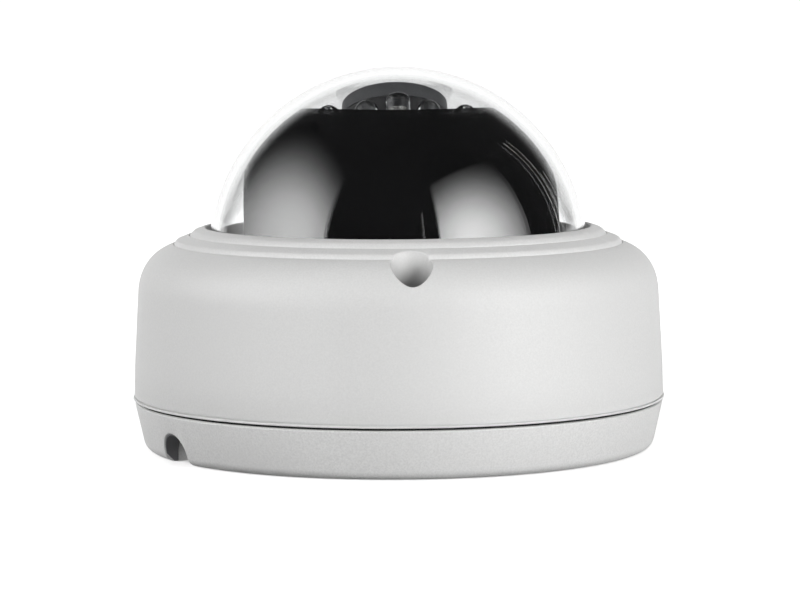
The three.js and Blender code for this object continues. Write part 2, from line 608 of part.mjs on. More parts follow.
add(tilt, 'lens_barrel', lensBarrel(), BLACK_SATIN);
add(tilt, 'front_lens', turned([
  [0, 27.6], [5.6, 27.6], [6.7, 28.9], [6.7, 29.6], ...bezier([6.7, 29.6], [5.0, 30.7], [2.5, 31.1], [0, 31.1], 4).slice(1),
], 24), GLASS);
add(tilt, 'rear_lens', turned([[0, 4.3], [4.0, 4.6], [5.0, 5.2], [5.0, 7.0], [0, 7.0]], 20), GLASS);
add(tilt, 'filter_slide', block(-6.2, 6.2, -3.4, 3.4, 0.7, 1.5), GLASS);

export default model;
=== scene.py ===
"""Visual model of a compact dome camera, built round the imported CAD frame."""

import json
import math
import random

import bmesh
import bpy
from mathutils import Matrix, Vector


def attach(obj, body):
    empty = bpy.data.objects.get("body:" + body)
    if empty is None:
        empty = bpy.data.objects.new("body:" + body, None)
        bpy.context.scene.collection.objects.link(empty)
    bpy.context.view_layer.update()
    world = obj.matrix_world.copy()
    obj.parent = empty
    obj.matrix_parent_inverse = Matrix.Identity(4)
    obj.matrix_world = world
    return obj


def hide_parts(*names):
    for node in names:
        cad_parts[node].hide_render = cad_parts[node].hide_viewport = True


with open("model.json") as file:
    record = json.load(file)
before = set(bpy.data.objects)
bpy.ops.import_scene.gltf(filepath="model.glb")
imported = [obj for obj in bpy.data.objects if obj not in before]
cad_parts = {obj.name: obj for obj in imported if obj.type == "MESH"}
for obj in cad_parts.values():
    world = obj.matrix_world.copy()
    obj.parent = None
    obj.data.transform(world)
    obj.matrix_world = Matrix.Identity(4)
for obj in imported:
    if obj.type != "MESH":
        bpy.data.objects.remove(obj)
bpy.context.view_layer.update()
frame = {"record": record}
random.seed(11)

BODIES = frame["record"]["behaviour"]["bodies"]
BODY_OF = {node: body for body, nodes in BODIES.items() for node in nodes}

# --- driving sizes, in millimetres
MM = 0.001
SEAM_Z = 10.1
COVER_LOW = 10.56
GROOVE_LOW, GROOVE_HIGH = 42.1, 44.05
OPENING_R = 39.8
CENTRE_Z = 39.6
BUBBLE_R = 39.5
BUBBLE_WALL = 1.9
SHROUD_R = 36.8
SHROUD_WALL = 1.2
SHROUD_TOP = 30.5
NEAR_FLAT = 31.3
FAR_FLAT = 29.9
SLOT_HALF = 21.3
PAN_REST = 2.5
TILT_REST = 24.5
SCREW_CIRCLE = 48.7
COVER_ANGLES = [-86.9, 33.1, 153.1]
LEG_ANGLES = [angle + 60.0 for angle in COVER_ANGLES]
NOTCH_ANGLE = -147.7
POCKET_R = 4.1
POCKET_FLOOR = 33.0
CLAMP_SCREW_R = 44.9
SCREW_HOLE_R, CLAMP_HOLE_R = 1.85, 1.35
SEAT_SCREW_R = 43.4
BOARD_POST_R = 31.5
BOARD_TOP = 13.6
ON_BOARD, OVER_BOARD = BOARD_TOP + 0.02, BOARD_TOP + 0.05
SEAT_TOP = 22.0
HUB_TOP = 27.0
LED_BOARD_TOP = 21.3
LED_TIP = 29.7
HOOD_R = 11.4
HOOD_IN = 9.3
HOOD_TOP = 35.4
ROUND, RING, SMALL = 256, 160, 40
SIDES = ((1, "right"), (-1, "left"))


def spin(degrees, axis="Z"):
    return Matrix.Rotation(math.radians(degrees), 4, axis)


AT_REST = Matrix.Identity(4)
AT_CENTRE = Matrix.Translation((0, 0, CENTRE_Z))
ACROSS = spin(90, "Y")
PAN = spin(PAN_REST)
TILT = AT_CENTRE @ PAN @ spin(-TILT_REST, "X")


# --- outlines
def polar(radius, degrees):
    return radius * math.cos(math.radians(degrees)), radius * math.sin(math.radians(degrees))


def bezier(p0, p1, p2, p3, steps):
    out = []
    for i in range(steps + 1):
        t = i / steps
        a, b, c, d = (1 - t) ** 3, 3 * t * (1 - t) ** 2, 3 * t * t * (1 - t), t ** 3
        out.append(tuple(a * p0[k] + b * p1[k] + c * p2[k] + d * p3[k] for k in (0, 1)))
    return out


def arc(cx, cy, r, start, end, steps):
    spots = [polar(r, start + (end - start) / steps * i) for i in range(steps + 1)]
    return [(cx + x, cy + y) for x, y in spots]


def soften(points, steps, closed):
    """The outline with each corner that has a third value rounded over that length."""
    out = []
    for i, point in enumerate(points):
        ends = i in (0, len(points) - 1)
        if len(point) < 3 or (ends and not closed):
            out.append((point[0], point[1]))
            continue
        here = Vector(point[:2])
        back = Vector(points[i - 1][:2]) - here
        on = Vector(points[(i + 1) % len(points)][:2]) - here
        reach = min(point[2], back.length * 0.49, on.length * 0.49)
        start, end = here + back.normalized() * reach, here + on.normalized() * reach
        for k in range(steps + 1):
            t = k / steps
            spot = start * (1 - t) ** 2 + here * 2 * t * (1 - t) + end * t * t
            out.append((spot.x, spot.y))
    return out


# --- solids, as bmesh in millimetres
def outward(shape):
    """The solid with every face turned outwards."""
    bmesh.ops.recalc_face_normals(shape, faces=shape.faces[:])
    return shape


def band(shape, low, high):
    """The faces between two loops with as many points each."""
    for k in range(len(low)):
        n = (k + 1) % len(low)
        shape.faces.new([low[k], low[n], high[n], high[k]])


def lathe(points, sides=RING, steps=4):
    """A closed solid of revolution about Z from (r, z) or (r, z, rounding) points."""
    on_axis = points[0][0] == 0 and points[-1][0] == 0
    outline = soften(points, steps, not on_axis)
    shape = bmesh.new()
    rings = []
    for r, z in outline:
        if r < 1e-6:
            rings.append([shape.verts.new((0, 0, z))])
        else:
            angles = [2 * math.pi / sides * k for k in range(sides)]
            rings.append([shape.verts.new((r * math.cos(a), r * math.sin(a), z)) for a in angles])
    pairs = list(zip(rings, rings[1:]))
    if not on_axis:
        pairs.append((rings[-1], rings[0]))
    for a, b in pairs:
        for k in range(sides):
            n = (k + 1) % sides
            corners = list(dict.fromkeys([a[k % len(a)], a[n % len(a)], b[n % len(b)], b[k % len(b)]]))
            if len(corners) > 2:
                shape.faces.new(corners)
    bmesh.ops.remove_doubles(shape, verts=shape.verts[:], dist=1e-5)
    return outward(shape)


def moved(shape, x=0.0, y=0.0, turn=0.0, matrix=None):
    place = matrix or Matrix.Translation((x, y, 0)) @ spin(turn)
    bmesh.ops.transform(shape, matrix=place, verts=shape.verts[:])
    return shape


def rod(x, y, r, z0, z1, sides=SMALL, edge=0.0):
    return moved(lathe([(0, z0), (r, z0, edge), (r, z1, edge), (0, z1)], sides, 3), x, y)


def rods_at(circle, angles, *size):
    """A rod of one size at each of the angles round a circle."""
    return [rod(*polar(circle, angle), *size) for angle in angles]


def ring(inner, outer, z0, z1, edge=0.15, sides=RING):
    return lathe([(inner, z0, edge), (outer, z0, edge), (outer, z1, edge), (inner, z1, edge)], sides, 3)


def block(x0, x1, y0, y1, z0, z1, edge=0.15):
    shape = bmesh.new()
    bmesh.ops.create_cube(shape, size=1)
    for v in shape.verts:
        v.co = ((x0 + x1) / 2 + v.co.x * (x1 - x0), (y0 + y1) / 2 + v.co.y * (y1 - y0),
                (z0 + z1) / 2 + v.co.z * (z1 - z0))
    if edge:
        bmesh.ops.bevel(shape, geom=shape.edges[:], offset=edge, segments=2, profile=0.5, affect="EDGES")
    return shape


def as_mesh(shape, name="part"):
    mesh = bpy.data.meshes.new(name)
    shape.to_mesh(mesh)
    shape.free()
    return mesh


def add_object(name, data):
    obj = bpy.data.objects.new(name, data)
    bpy.context.scene.collection.objects.link(obj)
    return obj


def joined(*shapes):
    """Several solids as one mesh, each still closed on its own."""
    out = bmesh.new()
    for shape in shapes:
        mesh = as_mesh(shape)
        out.from_mesh(mesh)
        bpy.data.meshes.remove(mesh)
    return out


def boolean(shape, tool, operation):
    pair = [add_object("operand", as_mesh(part)) for part in (shape, tool)]
    modifier = pair[0].modifiers.new("solid", "BOOLEAN")
    modifier.operation = operation
    modifier.solver = "EXACT"
    modifier.object = pair[1]
    depsgraph = bpy.context.evaluated_depsgraph_get()
    depsgraph.update()
    result = bpy.data.meshes.new_from_object(pair[0].evaluated_get(depsgraph))
    out = bmesh.new()
    out.from_mesh(result)
    bpy.data.meshes.remove(result)
    for obj in pair:
        mesh = obj.data
        bpy.data.objects.remove(obj)
        bpy.data.meshes.remove(mesh)
    return out


def cut(shape, *tools):
    return boolean(shape, joined(*tools), "DIFFERENCE")


def fuse(shape, *tools):
    return boolean(shape, joined(*tools), "UNION")


MOUTH_DEPTH, MOUTH_SPREAD = 0.35, 0.3
FILLET, FILLET_MIDDLE = 0.5, 0.12
FLARE_OUT, FLARE_UP = 0.4, 1.2
BEYOND = 60.0


def soft_cutter(rim, floor, surface_at, place, steps=8):
    """A closed cutter that sinks straight in from a surface and flares out to it over a rounded mouth. Its
    floor has a small fillet. rim is a loop of (u, v, normal u, normal v), surface_at(u, v) is the height of
    the surface there, and place(u, v, height) is a point in space."""
    levels = [lambda u, v: floor, lambda u, v: floor + FILLET_MIDDLE, lambda u, v: floor + FILLET]
    offsets = [-FILLET, -FILLET_MIDDLE, 0.0]
    for k in range(steps + 1):
        t = k / steps * math.pi / 2
        offsets.append(MOUTH_SPREAD * (1 - math.cos(t)))
        lift = 0.003 * k / steps - MOUTH_DEPTH * (1 - math.sin(t))
        levels.append(lambda u, v, lift=lift: surface_at(u, v) + lift)
    offsets += [MOUTH_SPREAD + FLARE_OUT, MOUTH_SPREAD + FLARE_OUT]
    levels += [lambda u, v: surface_at(u, v) + FLARE_UP, lambda u, v: BEYOND]
    shape = bmesh.new()
    loops = []
    for offset, level in zip(offsets, levels):
        loop = []
        for u, v, nu, nv in rim:
            a, b = u + nu * offset, v + nv * offset
            loop.append(shape.verts.new(place(a, b, level(a, b))))
        loops.append(loop)
    for low, high in zip(loops, loops[1:]):
        band(shape, low, high)
    shape.faces.new(loops[0])
    shape.faces.new(loops[-1])
    return outward(shape)


def interpolate(table, x):
    """y at x along (x, y) points sorted by x."""
    if x <= table[0][0]:
        return table[0][1]
    for (x0, y0), (x1, y1) in zip(table, table[1:]):
        if x <= x1:
            return y0 + (y1 - y0) * (x - x0) / max(x1 - x0, 1e-9)
    return table[-1][1]


def screw_shape(head_r, head_z, head_h, shank_r, tip_z, socket_r, thread_top=None):
    """Socket-head screw along Z. Its shank is threaded up to thread_top."""
    pitch, point, root = 0.5, 0.4, shank_r * 0.86
    outline = [(0, tip_z), (shank_r * 0.7, tip_z)]
    if thread_top:
        turns = int((thread_top - tip_z - point) / pitch)
        for k in range(turns):
            z = tip_z + point + k * pitch
            outline += [(root, z), (shank_r, z + pitch * 0.5)]
        outline += [(root, tip_z + point + turns * pitch)]
    else:
        outline += [(shank_r, tip_z + point)]
    top = head_z + head_h
    outline += [(shank_r, (thread_top or tip_z) + 0.6), (shank_r, head_z), (head_r, head_z, 0.15),
                (head_r, top, head_h * 0.3), (socket_r * 1.15, top), (0, top)]
    socket = lathe([(0, head_z + head_h * 0.45), (socket_r, head_z + head_h * 0.5), (socket_r, top + 1),
                    (0, top + 1)], 6)
    return cut(lathe(outline, SMALL, 4), socket)


# --- materials
def tint(colour, by):
    return tuple(min(1.0, max(0.0, c * by)) for c in colour)


class Nodes:
    """A node tree, with short ways to add to it."""

    def __init__(self, tree):
        self.tree = tree

    def feed(self, socket, source):
        """Sets a socket to a value or an RGB colour, or links it from another socket."""
        if isinstance(source, bpy.types.NodeSocket):
            self.tree.links.new(source, socket)
        else:
            socket.default_value = (*source, 1) if socket.type == "RGBA" else source

    def node(self, kind, inputs, **settings):
        """Adds a node with its settings and inputs, and gives back its outputs."""
        made = self.tree.nodes.new(kind)
        for key, value in settings.items():
            setattr(made, key, value)
        for key, source in inputs.items():
            self.feed(made.inputs[key], source)
        return made.outputs

    def axes(self, source):
        return self.node("ShaderNodeSeparateXYZ", {"Vector": source})

    def ramp(self, source, low, high, start=0.3, end=0.7, blend="LINEAR"):
        """Runs from low to high while source goes from start to end."""
        inputs = {"Value": source, "From Min": start, "From Max": end, "To Min": low, "To Max": high}
        return self.node("ShaderNodeMapRange", inputs, interpolation_type=blend)["Result"]

    def mix(self, factor, a, b):
        """Colour a where factor is 0 and b where it is 1. Each is a colour or a socket."""
        return self.node("ShaderNodeMix", {"Factor": factor, "A": a, "B": b}, data_type="RGBA")["Result"]

    def math(self, operation, a, b):
        return self.node("ShaderNodeMath", {0: a, 1: b}, operation=operation)["Value"]


class Paint(Nodes):
    """A node material round one Principled shader."""

    def __init__(self, name, metallic=0.0, ior=1.5):
        self.material = bpy.data.materials.new(name)
        self.material.use_nodes = True
        super().__init__(self.material.node_tree)
        self.shader = self.tree.nodes["Principled BSDF"]
        self.place = self.node("ShaderNodeTexCoord", {})["Object"]
        self.shade("Metallic", metallic)
        self.shade("IOR", ior)

    def shade(self, key, source):
        self.feed(self.shader.inputs[key], source)

    def noise(self, scale, detail=3.0, rough=0.5):
        inputs = {"Vector": self.place, "Scale": scale, "Detail": detail, "Roughness": rough}
        return self.node("ShaderNodeTexNoise", inputs)["Fac"]

    def cells(self, feature, scale, randomness=1.0):
        """Distance within a pattern of cells."""
        inputs = {"Vector": self.place, "Scale": scale, "Randomness": randomness}
        return self.node("ShaderNodeTexVoronoi", inputs, feature=feature)["Distance"]

    def vary(self, source, colour, low, high):
        """The colour at tints from low to high, as source rises."""
        return self.mix(self.ramp(source, 0, 1), tint(colour, low), tint(colour, high))

    def worn(self, colour, bright, start=0.54, end=0.62):
        """Convex edges take a lighter tone, as they do where a finish thins or is handled."""
        edge = self.ramp(self.node("ShaderNodeNewGeometry", {})["Pointiness"], 0, 1, start, end)
        return self.mix(edge, colour, bright)

    def colour(self, source):
        self.shade("Base Color", source)

    def rough(self, source):
        self.shade("Roughness", source)

    def bump(self, height, distance, strength=1.0):
        inputs = {"Height": height, "Distance": distance, "Strength": strength}
        self.shade("Normal", self.node("ShaderNodeBump", inputs)["Normal"])


def powder_coat(name, colour, speckle, shade_heights=None):
    """Fine white powder coat: pinhead grain, faint large-scale variation and a satin sheen. Given a pair of
    heights in metres as its last argument, its colour darkens as painted shade from the second height down
    to the first."""
    paint = Paint(name)
    grain = paint.noise(2600, 4, 0.6)
    drift = paint.noise(45, 2)
    base = paint.vary(grain, colour, 1 - speckle, 1 + speckle)
    shade = paint.mix(paint.ramp(drift, 0, 0.5), base, tint(colour, 0.985))
    if shade_heights:
        # painted shade: the colour darkens towards the bottom of the screw pockets
        painted_shade = paint.ramp(paint.axes(paint.place)["Z"], 1, 0, *shade_heights)
        shade = paint.mix(painted_shade, shade, tint(colour, 0.5))
    paint.colour(paint.worn(shade, tint(colour, 1.06)))
    paint.rough(paint.ramp(paint.noise(1500, 2), 0.50, 0.62))
    paint.bump(paint.math("ADD", grain, paint.math("MULTIPLY", paint.noise(700, 2), 0.8)), 0.000022, 0.5)
    return paint.material


def moulded(name, colour, low, high, grain=2200, relief=0.000008, spread=0.12, edge=1.8):
    """Moulded plastic or rubber with fine grain, uneven gloss and slightly polished edges."""
    paint = Paint(name)
    fine, broad = paint.noise(grain, 3), paint.noise(90, 3)
    base = paint.vary(fine, colour, 1 - spread, 1 + spread)
    shade = paint.mix(paint.ramp(broad, 0, 0.6), base, tint(colour, 1 + 1.5 * spread))
    paint.colour(paint.worn(shade, tint(colour, edge)))
    paint.rough(paint.ramp(broad, low, high))
    paint.bump(fine, relief, 0.6)
    return paint.material


def polished(name, colour):
    """Gloss black moulding: nearly flawless, with slight flow waviness, haze and a little dust."""
    paint = Paint(name)
    speck = paint.ramp(paint.cells("F1", 900), 1, 0, 0.03, 0.07)
    sparse = paint.ramp(paint.noise(400, 2), 0, 1, 0.58, 0.64)
    haze = paint.noise(30, 3)
    base = paint.vary(haze, colour, 0.8, 1.25)
    paint.colour(paint.mix(paint.math("MULTIPLY", speck, sparse), base, (0.06, 0.06, 0.06)))
    paint.rough(paint.ramp(haze, 0.025, 0.05))
    paint.bump(paint.noise(60, 1), 0.00002, 0.12)
    return paint.material


def metal(name, colour, low, high, grain=1400):
    """Turned or pressed metal with fine marks and slightly brighter edges."""
    paint = Paint(name, metallic=1.0)
    marks, patch = paint.noise(grain, 4, 0.6), paint.noise(180, 2)
    base = paint.vary(marks, colour, 0.82, 1.1)
    paint.colour(paint.worn(base, tint(colour, 1.35)))
    paint.rough(paint.math("ADD", paint.ramp(marks, 0, high - low), paint.ramp(patch, low * 0.8, low)))
    paint.bump(marks, 0.000006, 0.5)
    return paint.material


def glass(name, colour, ior, haze=0.0, relief=0.0):
    """Clear plastic or glass with a faint tint, and the slight waviness of a moulded part."""
    paint = Paint(name, ior=ior)
    paint.shade("Transmission Weight", 1.0)
    drift = paint.noise(35, 2)
    paint.colour(paint.vary(drift, colour, 1, 0.985))
    paint.rough(paint.ramp(drift, haze * 0.5, haze))
    paint.bump(drift, relief, 0.3)
    return paint.material


def solder_mask(name, colour, trace, scale):
    """Circuit board: tracks under the solder mask, small tinned pads and a fine weave."""
    paint = Paint(name)
    track = paint.ramp(paint.cells("DISTANCE_TO_EDGE", scale, 0.55), 1, 0, 0.03, 0.06)
    via = paint.ramp(paint.cells("F1", scale * 1.7), 1, 0, 0.1, 0.13)
    weave = paint.noise(1600, 2)
    base = paint.vary(weave, colour, 0.85, 1.15)
    tracked = paint.mix(track, base, trace)
    paint.colour(paint.mix(via, tracked, (0.55, 0.52, 0.42)))
    paint.rough(paint.ramp(weave, 0.28, 0.42))
    paint.bump(paint.math("ADD", track, via), 0.00002, 0.5)
    return paint.material


WHITE = powder_coat("white_powder_coat", (0.80, 0.80, 0.795), 0.05)
WHITE_BASE = powder_coat("white_powder_coat_base", (0.80, 0.80, 0.795), 0.11)
# painted shade for the screw pockets: a darker white that darkens further with depth
WHITE_POCKET_SHADE = powder_coat("white_powder_coat_pocket_shade", (0.75, 0.75, 0.745), 0.05, (0.0372, 0.0432))
BUBBLE_GLASS = glass("clear_polycarbonate", (0.985, 0.99, 0.99), 1.58, 0.004, 0.00001)
GLOSS = polished("gloss_black", (0.004, 0.004, 0.0043))
SATIN = moulded("satin_black", (0.016, 0.016, 0.017), 0.32, 0.46)
GREY = moulded("dark_grey_texture", (0.055, 0.056, 0.06), 0.42, 0.58, 1500, 0.000016)
RUBBER = moulded("seal_rubber_black", (0.012, 0.012, 0.012), 0.62, 0.8, 900, 0.00002)
# painted shade: dark grey for the sheet that stands in for the shaded walls of the cable passage
SHADE_SLEEVE = moulded("shade_sheet_grey", (0.11, 0.11, 0.115), 0.55, 0.7, 1500, 0.00001)
NYLON = moulded("natural_nylon", (0.72, 0.69, 0.6), 0.4, 0.55, 1200, 0.00001, 0.04, 1.15)
PACKAGE = moulded("chip_package", (0.02, 0.021, 0.023), 0.45, 0.6, 3000, 0.00001)
STEEL = metal("turned_steel", (0.58, 0.58, 0.59), 0.2, 0.36)
ALLOY = metal("plain_alloy", (0.62, 0.63, 0.64), 0.3, 0.5, 900)
TIN = metal("tinned_leads", (0.74, 0.73, 0.7), 0.18, 0.32, 2400)
GREEN = solder_mask("green_solder_mask", (0.012, 0.085, 0.04), (0.03, 0.15, 0.07), 420)
BLACK_MASK = solder_mask("black_solder_mask", (0.012, 0.013, 0.015), (0.035, 0.037, 0.04), 520)
LENS_GLASS = glass("coated_lens_glass", (0.90, 0.93, 1.0), 1.68, 0.002)
EPOXY = glass("clear_epoxy", (0.96, 0.975, 0.985), 1.53, 0.01)
FILTER_GLASS = glass("tinted_filter_glass", (0.55, 0.85, 0.9), 1.52, 0.004)


def piece(name, shape, material, node, place=AT_REST, stands_for=True, crease=32, shadow=True):
    """One visible piece in the row frame. It rides with its CAD node's body, and stands for the node unless
    told not to."""
    bmesh.ops.transform(shape, matrix=Matrix.Scale(MM, 4) @ place, verts=shape.verts[:])
    mesh = as_mesh(shape, name)
    mesh.polygons.foreach_set("use_smooth", [True] * len(mesh.polygons))
    mesh.set_sharp_from_angle(angle=math.radians(crease))
    mesh.materials.append(material)
    obj = add_object(name, mesh)
    obj.visible_shadow = shadow
    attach(obj, BODY_OF[node])
    if stands_for:
        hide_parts(node)
    return obj


# --- camera and floor
CAMERA_AT = (0.33, -695.2, 94.2)
CAMERA_PITCH = 5.24
CAMERA_ROLL = -0.302
camera = add_object("camera", bpy.data.cameras.new("camera"))
camera.data.sensor_width = 36.0
camera.data.lens = 150.5
camera.data.clip_start, camera.data.clip_end = 0.05, 200
camera.matrix_world = (Matrix.Translation(Vector(CAMERA_AT) * MM)
                       @ spin(90 - CAMERA_PITCH, "X") @ spin(CAMERA_ROLL))
bpy.context.scene.camera = camera


def stage_mesh(name, corners, material):
    mesh = bpy.data.meshes.new(name)
    mesh.from_pydata(corners, [], [tuple(range(len(corners)))])
    mesh.materials.append(material)
    obj = add_object(name, mesh)
    return obj


# half the floor's side, and distances from the middle of it, in metres
FLOOR_HALF = 90.0
OBJECT_EDGE = (0.045, 0.051)
GLOW_RUN = (0.2, 0.8)


def floor_material(near, far):
    """Pale matt floor. It doesn't glow under the object, glows a little round it, and more so away from it,
    so that it runs out into white."""
    paint = Paint("pale_floor")
    paint.colour(paint.mix(paint.noise(3, 2), (0.90, 0.90, 0.90), (0.92, 0.92, 0.92)))
    paint.rough(paint.ramp(paint.noise(8, 2), 0.8, 0.95))
    paint.shade("Specular IOR Level", 0.1)
    away = paint.node("ShaderNodeVectorMath", {0: paint.place}, operation="LENGTH")["Value"]
    outside = paint.ramp(away, 0, 1, *OBJECT_EDGE)
    paint.shade("Emission Color", (1, 1, 1))
    paint.shade("Emission Strength", paint.math("MULTIPLY", outside, paint.ramp(away, near, far, *GLOW_RUN)))
    return paint.material


corners = [(FLOOR_HALF * x, FLOOR_HALF * y, 0) for x, y in ((-1, -1), (1, -1), (1, 1), (-1, 1))]
floor = stage_mesh("floor", corners, floor_material(0.6, 1.0))
floor.visible_diffuse = False


# --- light
def compass(azimuth, elevation, distance):
    """A point seen from the object: azimuth 0 is towards the camera and 90 is to its right."""
    a, e = math.radians(azimuth), math.radians(elevation)
    return Vector((math.sin(a) * math.cos(e), -math.cos(a) * math.cos(e), math.sin(e))) * distance


def softbox_material(name, peak, centre, spread):
    """A diffuser lit from behind by one lamp: bright over the lamp, fading smoothly across and up."""
    paint = Paint(name)
    paint.tree.nodes.remove(paint.shader)
    axes = paint.axes(paint.place)
    total = 0.0
    for axis, middle, width in zip(("X", "Z"), centre, spread):
        off = paint.math("DIVIDE", paint.math("SUBTRACT", axes[axis], middle), width * math.sqrt(2))
        total = paint.math("ADD", total, paint.math("MULTIPLY", off, off))
    fade = paint.math("POWER", math.e, paint.math("MULTIPLY", total, -1.0))
    glow = paint.node("ShaderNodeEmission", {"Strength": paint.math("MULTIPLY", fade, peak)})["Emission"]
    paint.feed(paint.tree.nodes["Material Output"].inputs["Surface"], glow)
    return paint.material


LIGHT_D = 1.6


def softbox(name, azimuth, left, right, low, top, peak, centre=(0.0, 0.3), spread=(9.0, 9.0)):
    """A panel that faces the object from LIGHT_D away and shows in reflections. Its edges, and the middle
    and spread of its hot spot, are in units of that distance."""
    a, b, low, top = (value * LIGHT_D for value in (left, right, low, top))
    material = softbox_material(name, peak, [c * LIGHT_D for c in centre], [w * LIGHT_D for w in spread])
    panel = stage_mesh(name, [(a, 0, low), (b, 0, low), (b, 0, top), (a, 0, top)], material)
    panel.location = compass(azimuth, 0, LIGHT_D)
    panel.rotation_euler.z = math.radians(azimuth)
    panel.visible_camera = False
    panel.visible_diffuse = False


softbox("left_softbox", -88, -0.98, 0.90, 0.02, 1.66, 3.75, (0.40, 0.28), (0.52, 0.45))
softbox("right_softbox", 57, -0.60, 0.60, 0.02, 1.24, 5.6, (-0.2, 0.22), (0.42, 0.40))
softbox("strip_right_1", 120, -0.004, 0.004, 0.02, 0.9, 3.0)
softbox("strip_right_2", 125.5, -0.004, 0.004, 0.02, 0.45, 2.5)
softbox("strip_front", 16, -0.004, 0.004, 0.2, 0.6, 1.5)


def lamp(name, azimuth, elevation, power, size):
    """A broad soft light that shades the object but doesn't show in reflections."""
    light = add_object(name, bpy.data.lights.new(name, "AREA"))
    light.data.shape = "DISK"
    light.data.size = size
    light.data.energy = power
    light.location = compass(azimuth, elevation, LIGHT_D)
    light.rotation_euler = (-light.location).to_track_quat("-Z", "Y").to_euler()
    light.visible_glossy = False
    light.visible_transmission = False
    light.visible_camera = False


lamp("key_right", 46, 5, 31.0, 1.2)
lamp("key_left", -38, 16, 7.2, 1.2)
lamp("side_left", -82, 31, 11.4, 1.2)
lamp("back_right", 132, 28, 5.0, 1.3)
lamp("back", 180, 32, 5.0, 1.3)
lamp("overhead", 0, 85, 1.5, 1.6)


def studio_world():
    """A dark room with a narrow pale wall behind the object and a white band round the horizon."""
    world = bpy.data.worlds.new("studio")
    bpy.context.scene.world = world
    world.use_nodes = True
    sky = Nodes(world.node_tree)
    axes = sky.axes(sky.node("ShaderNodeTexCoord", {})["Generated"])

    def step(axis, low, high, start, end):
        return sky.ramp(axes[axis], low, high, start, end, "SMOOTHSTEP")

    horizon = sky.math("MINIMUM", step("Z", 0.0, 1.0, -0.03, -0.015), step("Z", 1.0, 0.02, 0.05, 0.09))
    wall = sky.math("MULTIPLY", step("Y", 0.0, 1.0, 0.7, 0.87), step("Z", 1.08, 0.2, 0.45, 0.9))
    background = sky.tree.nodes["Background"].inputs
    sky.feed(background["Color"], (1, 1, 1))
    sky.feed(background["Strength"], sky.math("MAXIMUM", horizon, wall))


studio_world()
bpy.context.scene.view_settings.view_transform = "Standard"

# --- base
BASE_WALL = [*bezier((50.2, 0), (51.8, 0), (52.9, 0.5), (53.3, 2.0), 10), (55.0, 9.6),
             *bezier((55.0, 9.6), (55.05, 9.9), (54.9, 10.05), (54.6, 10.08), 5)[1:]]
SPIGOT_TOP = 13.4
FLOOR_LOW, FLOOR_TOP = 5.0, 7.6
GLAND_AT = (-22.0, -11.0)
ANCHOR_AT = [(0, 38), (33, -19), (-33, 19), (0, -38)]


def base_shape():
    shell = lathe([
        (0, FLOOR_LOW), (47.6, FLOOR_LOW, 0.4), (47.6, 0, 0.3), *BASE_WALL,
        (52.7, 10.08, 0.1), (52.4, SEAM_Z + 0.5), (52.4, SPIGOT_TOP, 0.4),
        (50.3, SPIGOT_TOP, 0.3), (50.3, FLOOR_TOP, 0.8), (0, FLOOR_TOP),
    ], ROUND)
    solids = rods_at(SCREW_CIRCLE, COVER_ANGLES, 3.2, 7.0, SPIGOT_TOP, SMALL, 0.2)
    solids += rods_at(BOARD_POST_R, COVER_ANGLES, 3.0, 7.0, 11.95, SMALL, 0.2)
    holes = rods_at(SCREW_CIRCLE, COVER_ANGLES, SCREW_HOLE_R, 6.2, 20)
    holes += rods_at(BOARD_POST_R, COVER_ANGLES, 1.25, 8.2, 20)
    holes += rods_at(SEAT_SCREW_R, LEG_ANGLES, 1.25, 5.7, 20)
    holes += [rod(x, y, 2.2, 4, 9) for x, y in ANCHOR_AT]
    holes.append(rod(*GLAND_AT, 5.0, 4, 9))
    return cut(fuse(shell, *solids), *holes, notch_cutter())


NOTCH_HALF, NOTCH_HIGH = 4.5, 6.3
NOTCH_SPRING = NOTCH_HIGH - NOTCH_HALF
NOTCH_START = 44.0
# sizes of the dark sheet in the cable passage, which is painted shade
SLEEVE_BACK, SLEEVE_LOW, SLEEVE_INSET = 50.2, 0.15, 0.3
SLEEVE_SKINS = (0.04, -0.22)
NOTCH_OUT, NOTCH_SIDE = (Vector((*polar(1, NOTCH_ANGLE + turn), 0)) for turn in (0, 90))


def notch_surface(u, v):
    """Distance from the axis to the base wall, u sideways from the middle of the notch and v up."""
    return math.sqrt(interpolate([(z, r) for r, z in BASE_WALL], v) ** 2 - u * u)


def notch_place(u, v, w):
    return NOTCH_OUT * w + NOTCH_SIDE * u + Vector((0, 0, v))


def notch_cutter():
    """The arched cable passage through the base wall, with a rounded mouth."""
    half, spring = NOTCH_HALF, NOTCH_SPRING
    rim = [(half, -1 + (spring + 1) * k / 8, 1, 0) for k in range(8)]
    for k in range(33):
        a = math.pi * k / 32
        rim.append((half * math.cos(a), spring + half * math.sin(a), math.cos(a), math.sin(a)))
    rim += [(-half, spring - (spring + 1) * k / 8, -1, 0) for k in range(1, 9)]
    rim += [(-half + 2 * half * k / 8, -1, 0, -1) for k in range(1, 8)]
    return soft_cutter(rim, NOTCH_START, notch_surface, notch_place)


def notch_shade_sleeve():
    """Thin dark sheet that lines the outer part of the cable passage. It is painted shade, standing in for
    the shaded passage walls.
    """
    outline = []
    for half in [NOTCH_HALF + skin for skin in SLEEVE_SKINS]:
        side = [(half, SLEEVE_LOW), *arc(0, NOTCH_SPRING, half, 0, 180, 24), (-half, SLEEVE_LOW)]
        outline += side if not outline else side[::-1]
    shape = bmesh.new()
    front = [shape.verts.new(notch_place(u, v, notch_surface(u, v) - SLEEVE_INSET)) for u, v in outline]
    back = [shape.verts.new(notch_place(u, v, SLEEVE_BACK)) for u, v in outline]
    band(shape, front, back)
    for k in range(len(outline) // 2 - 1):
        for loop in (front, back):
            shape.faces.new([loop[k], loop[k + 1], loop[-2 - k], loop[-1 - k]])
    return outward(shape)


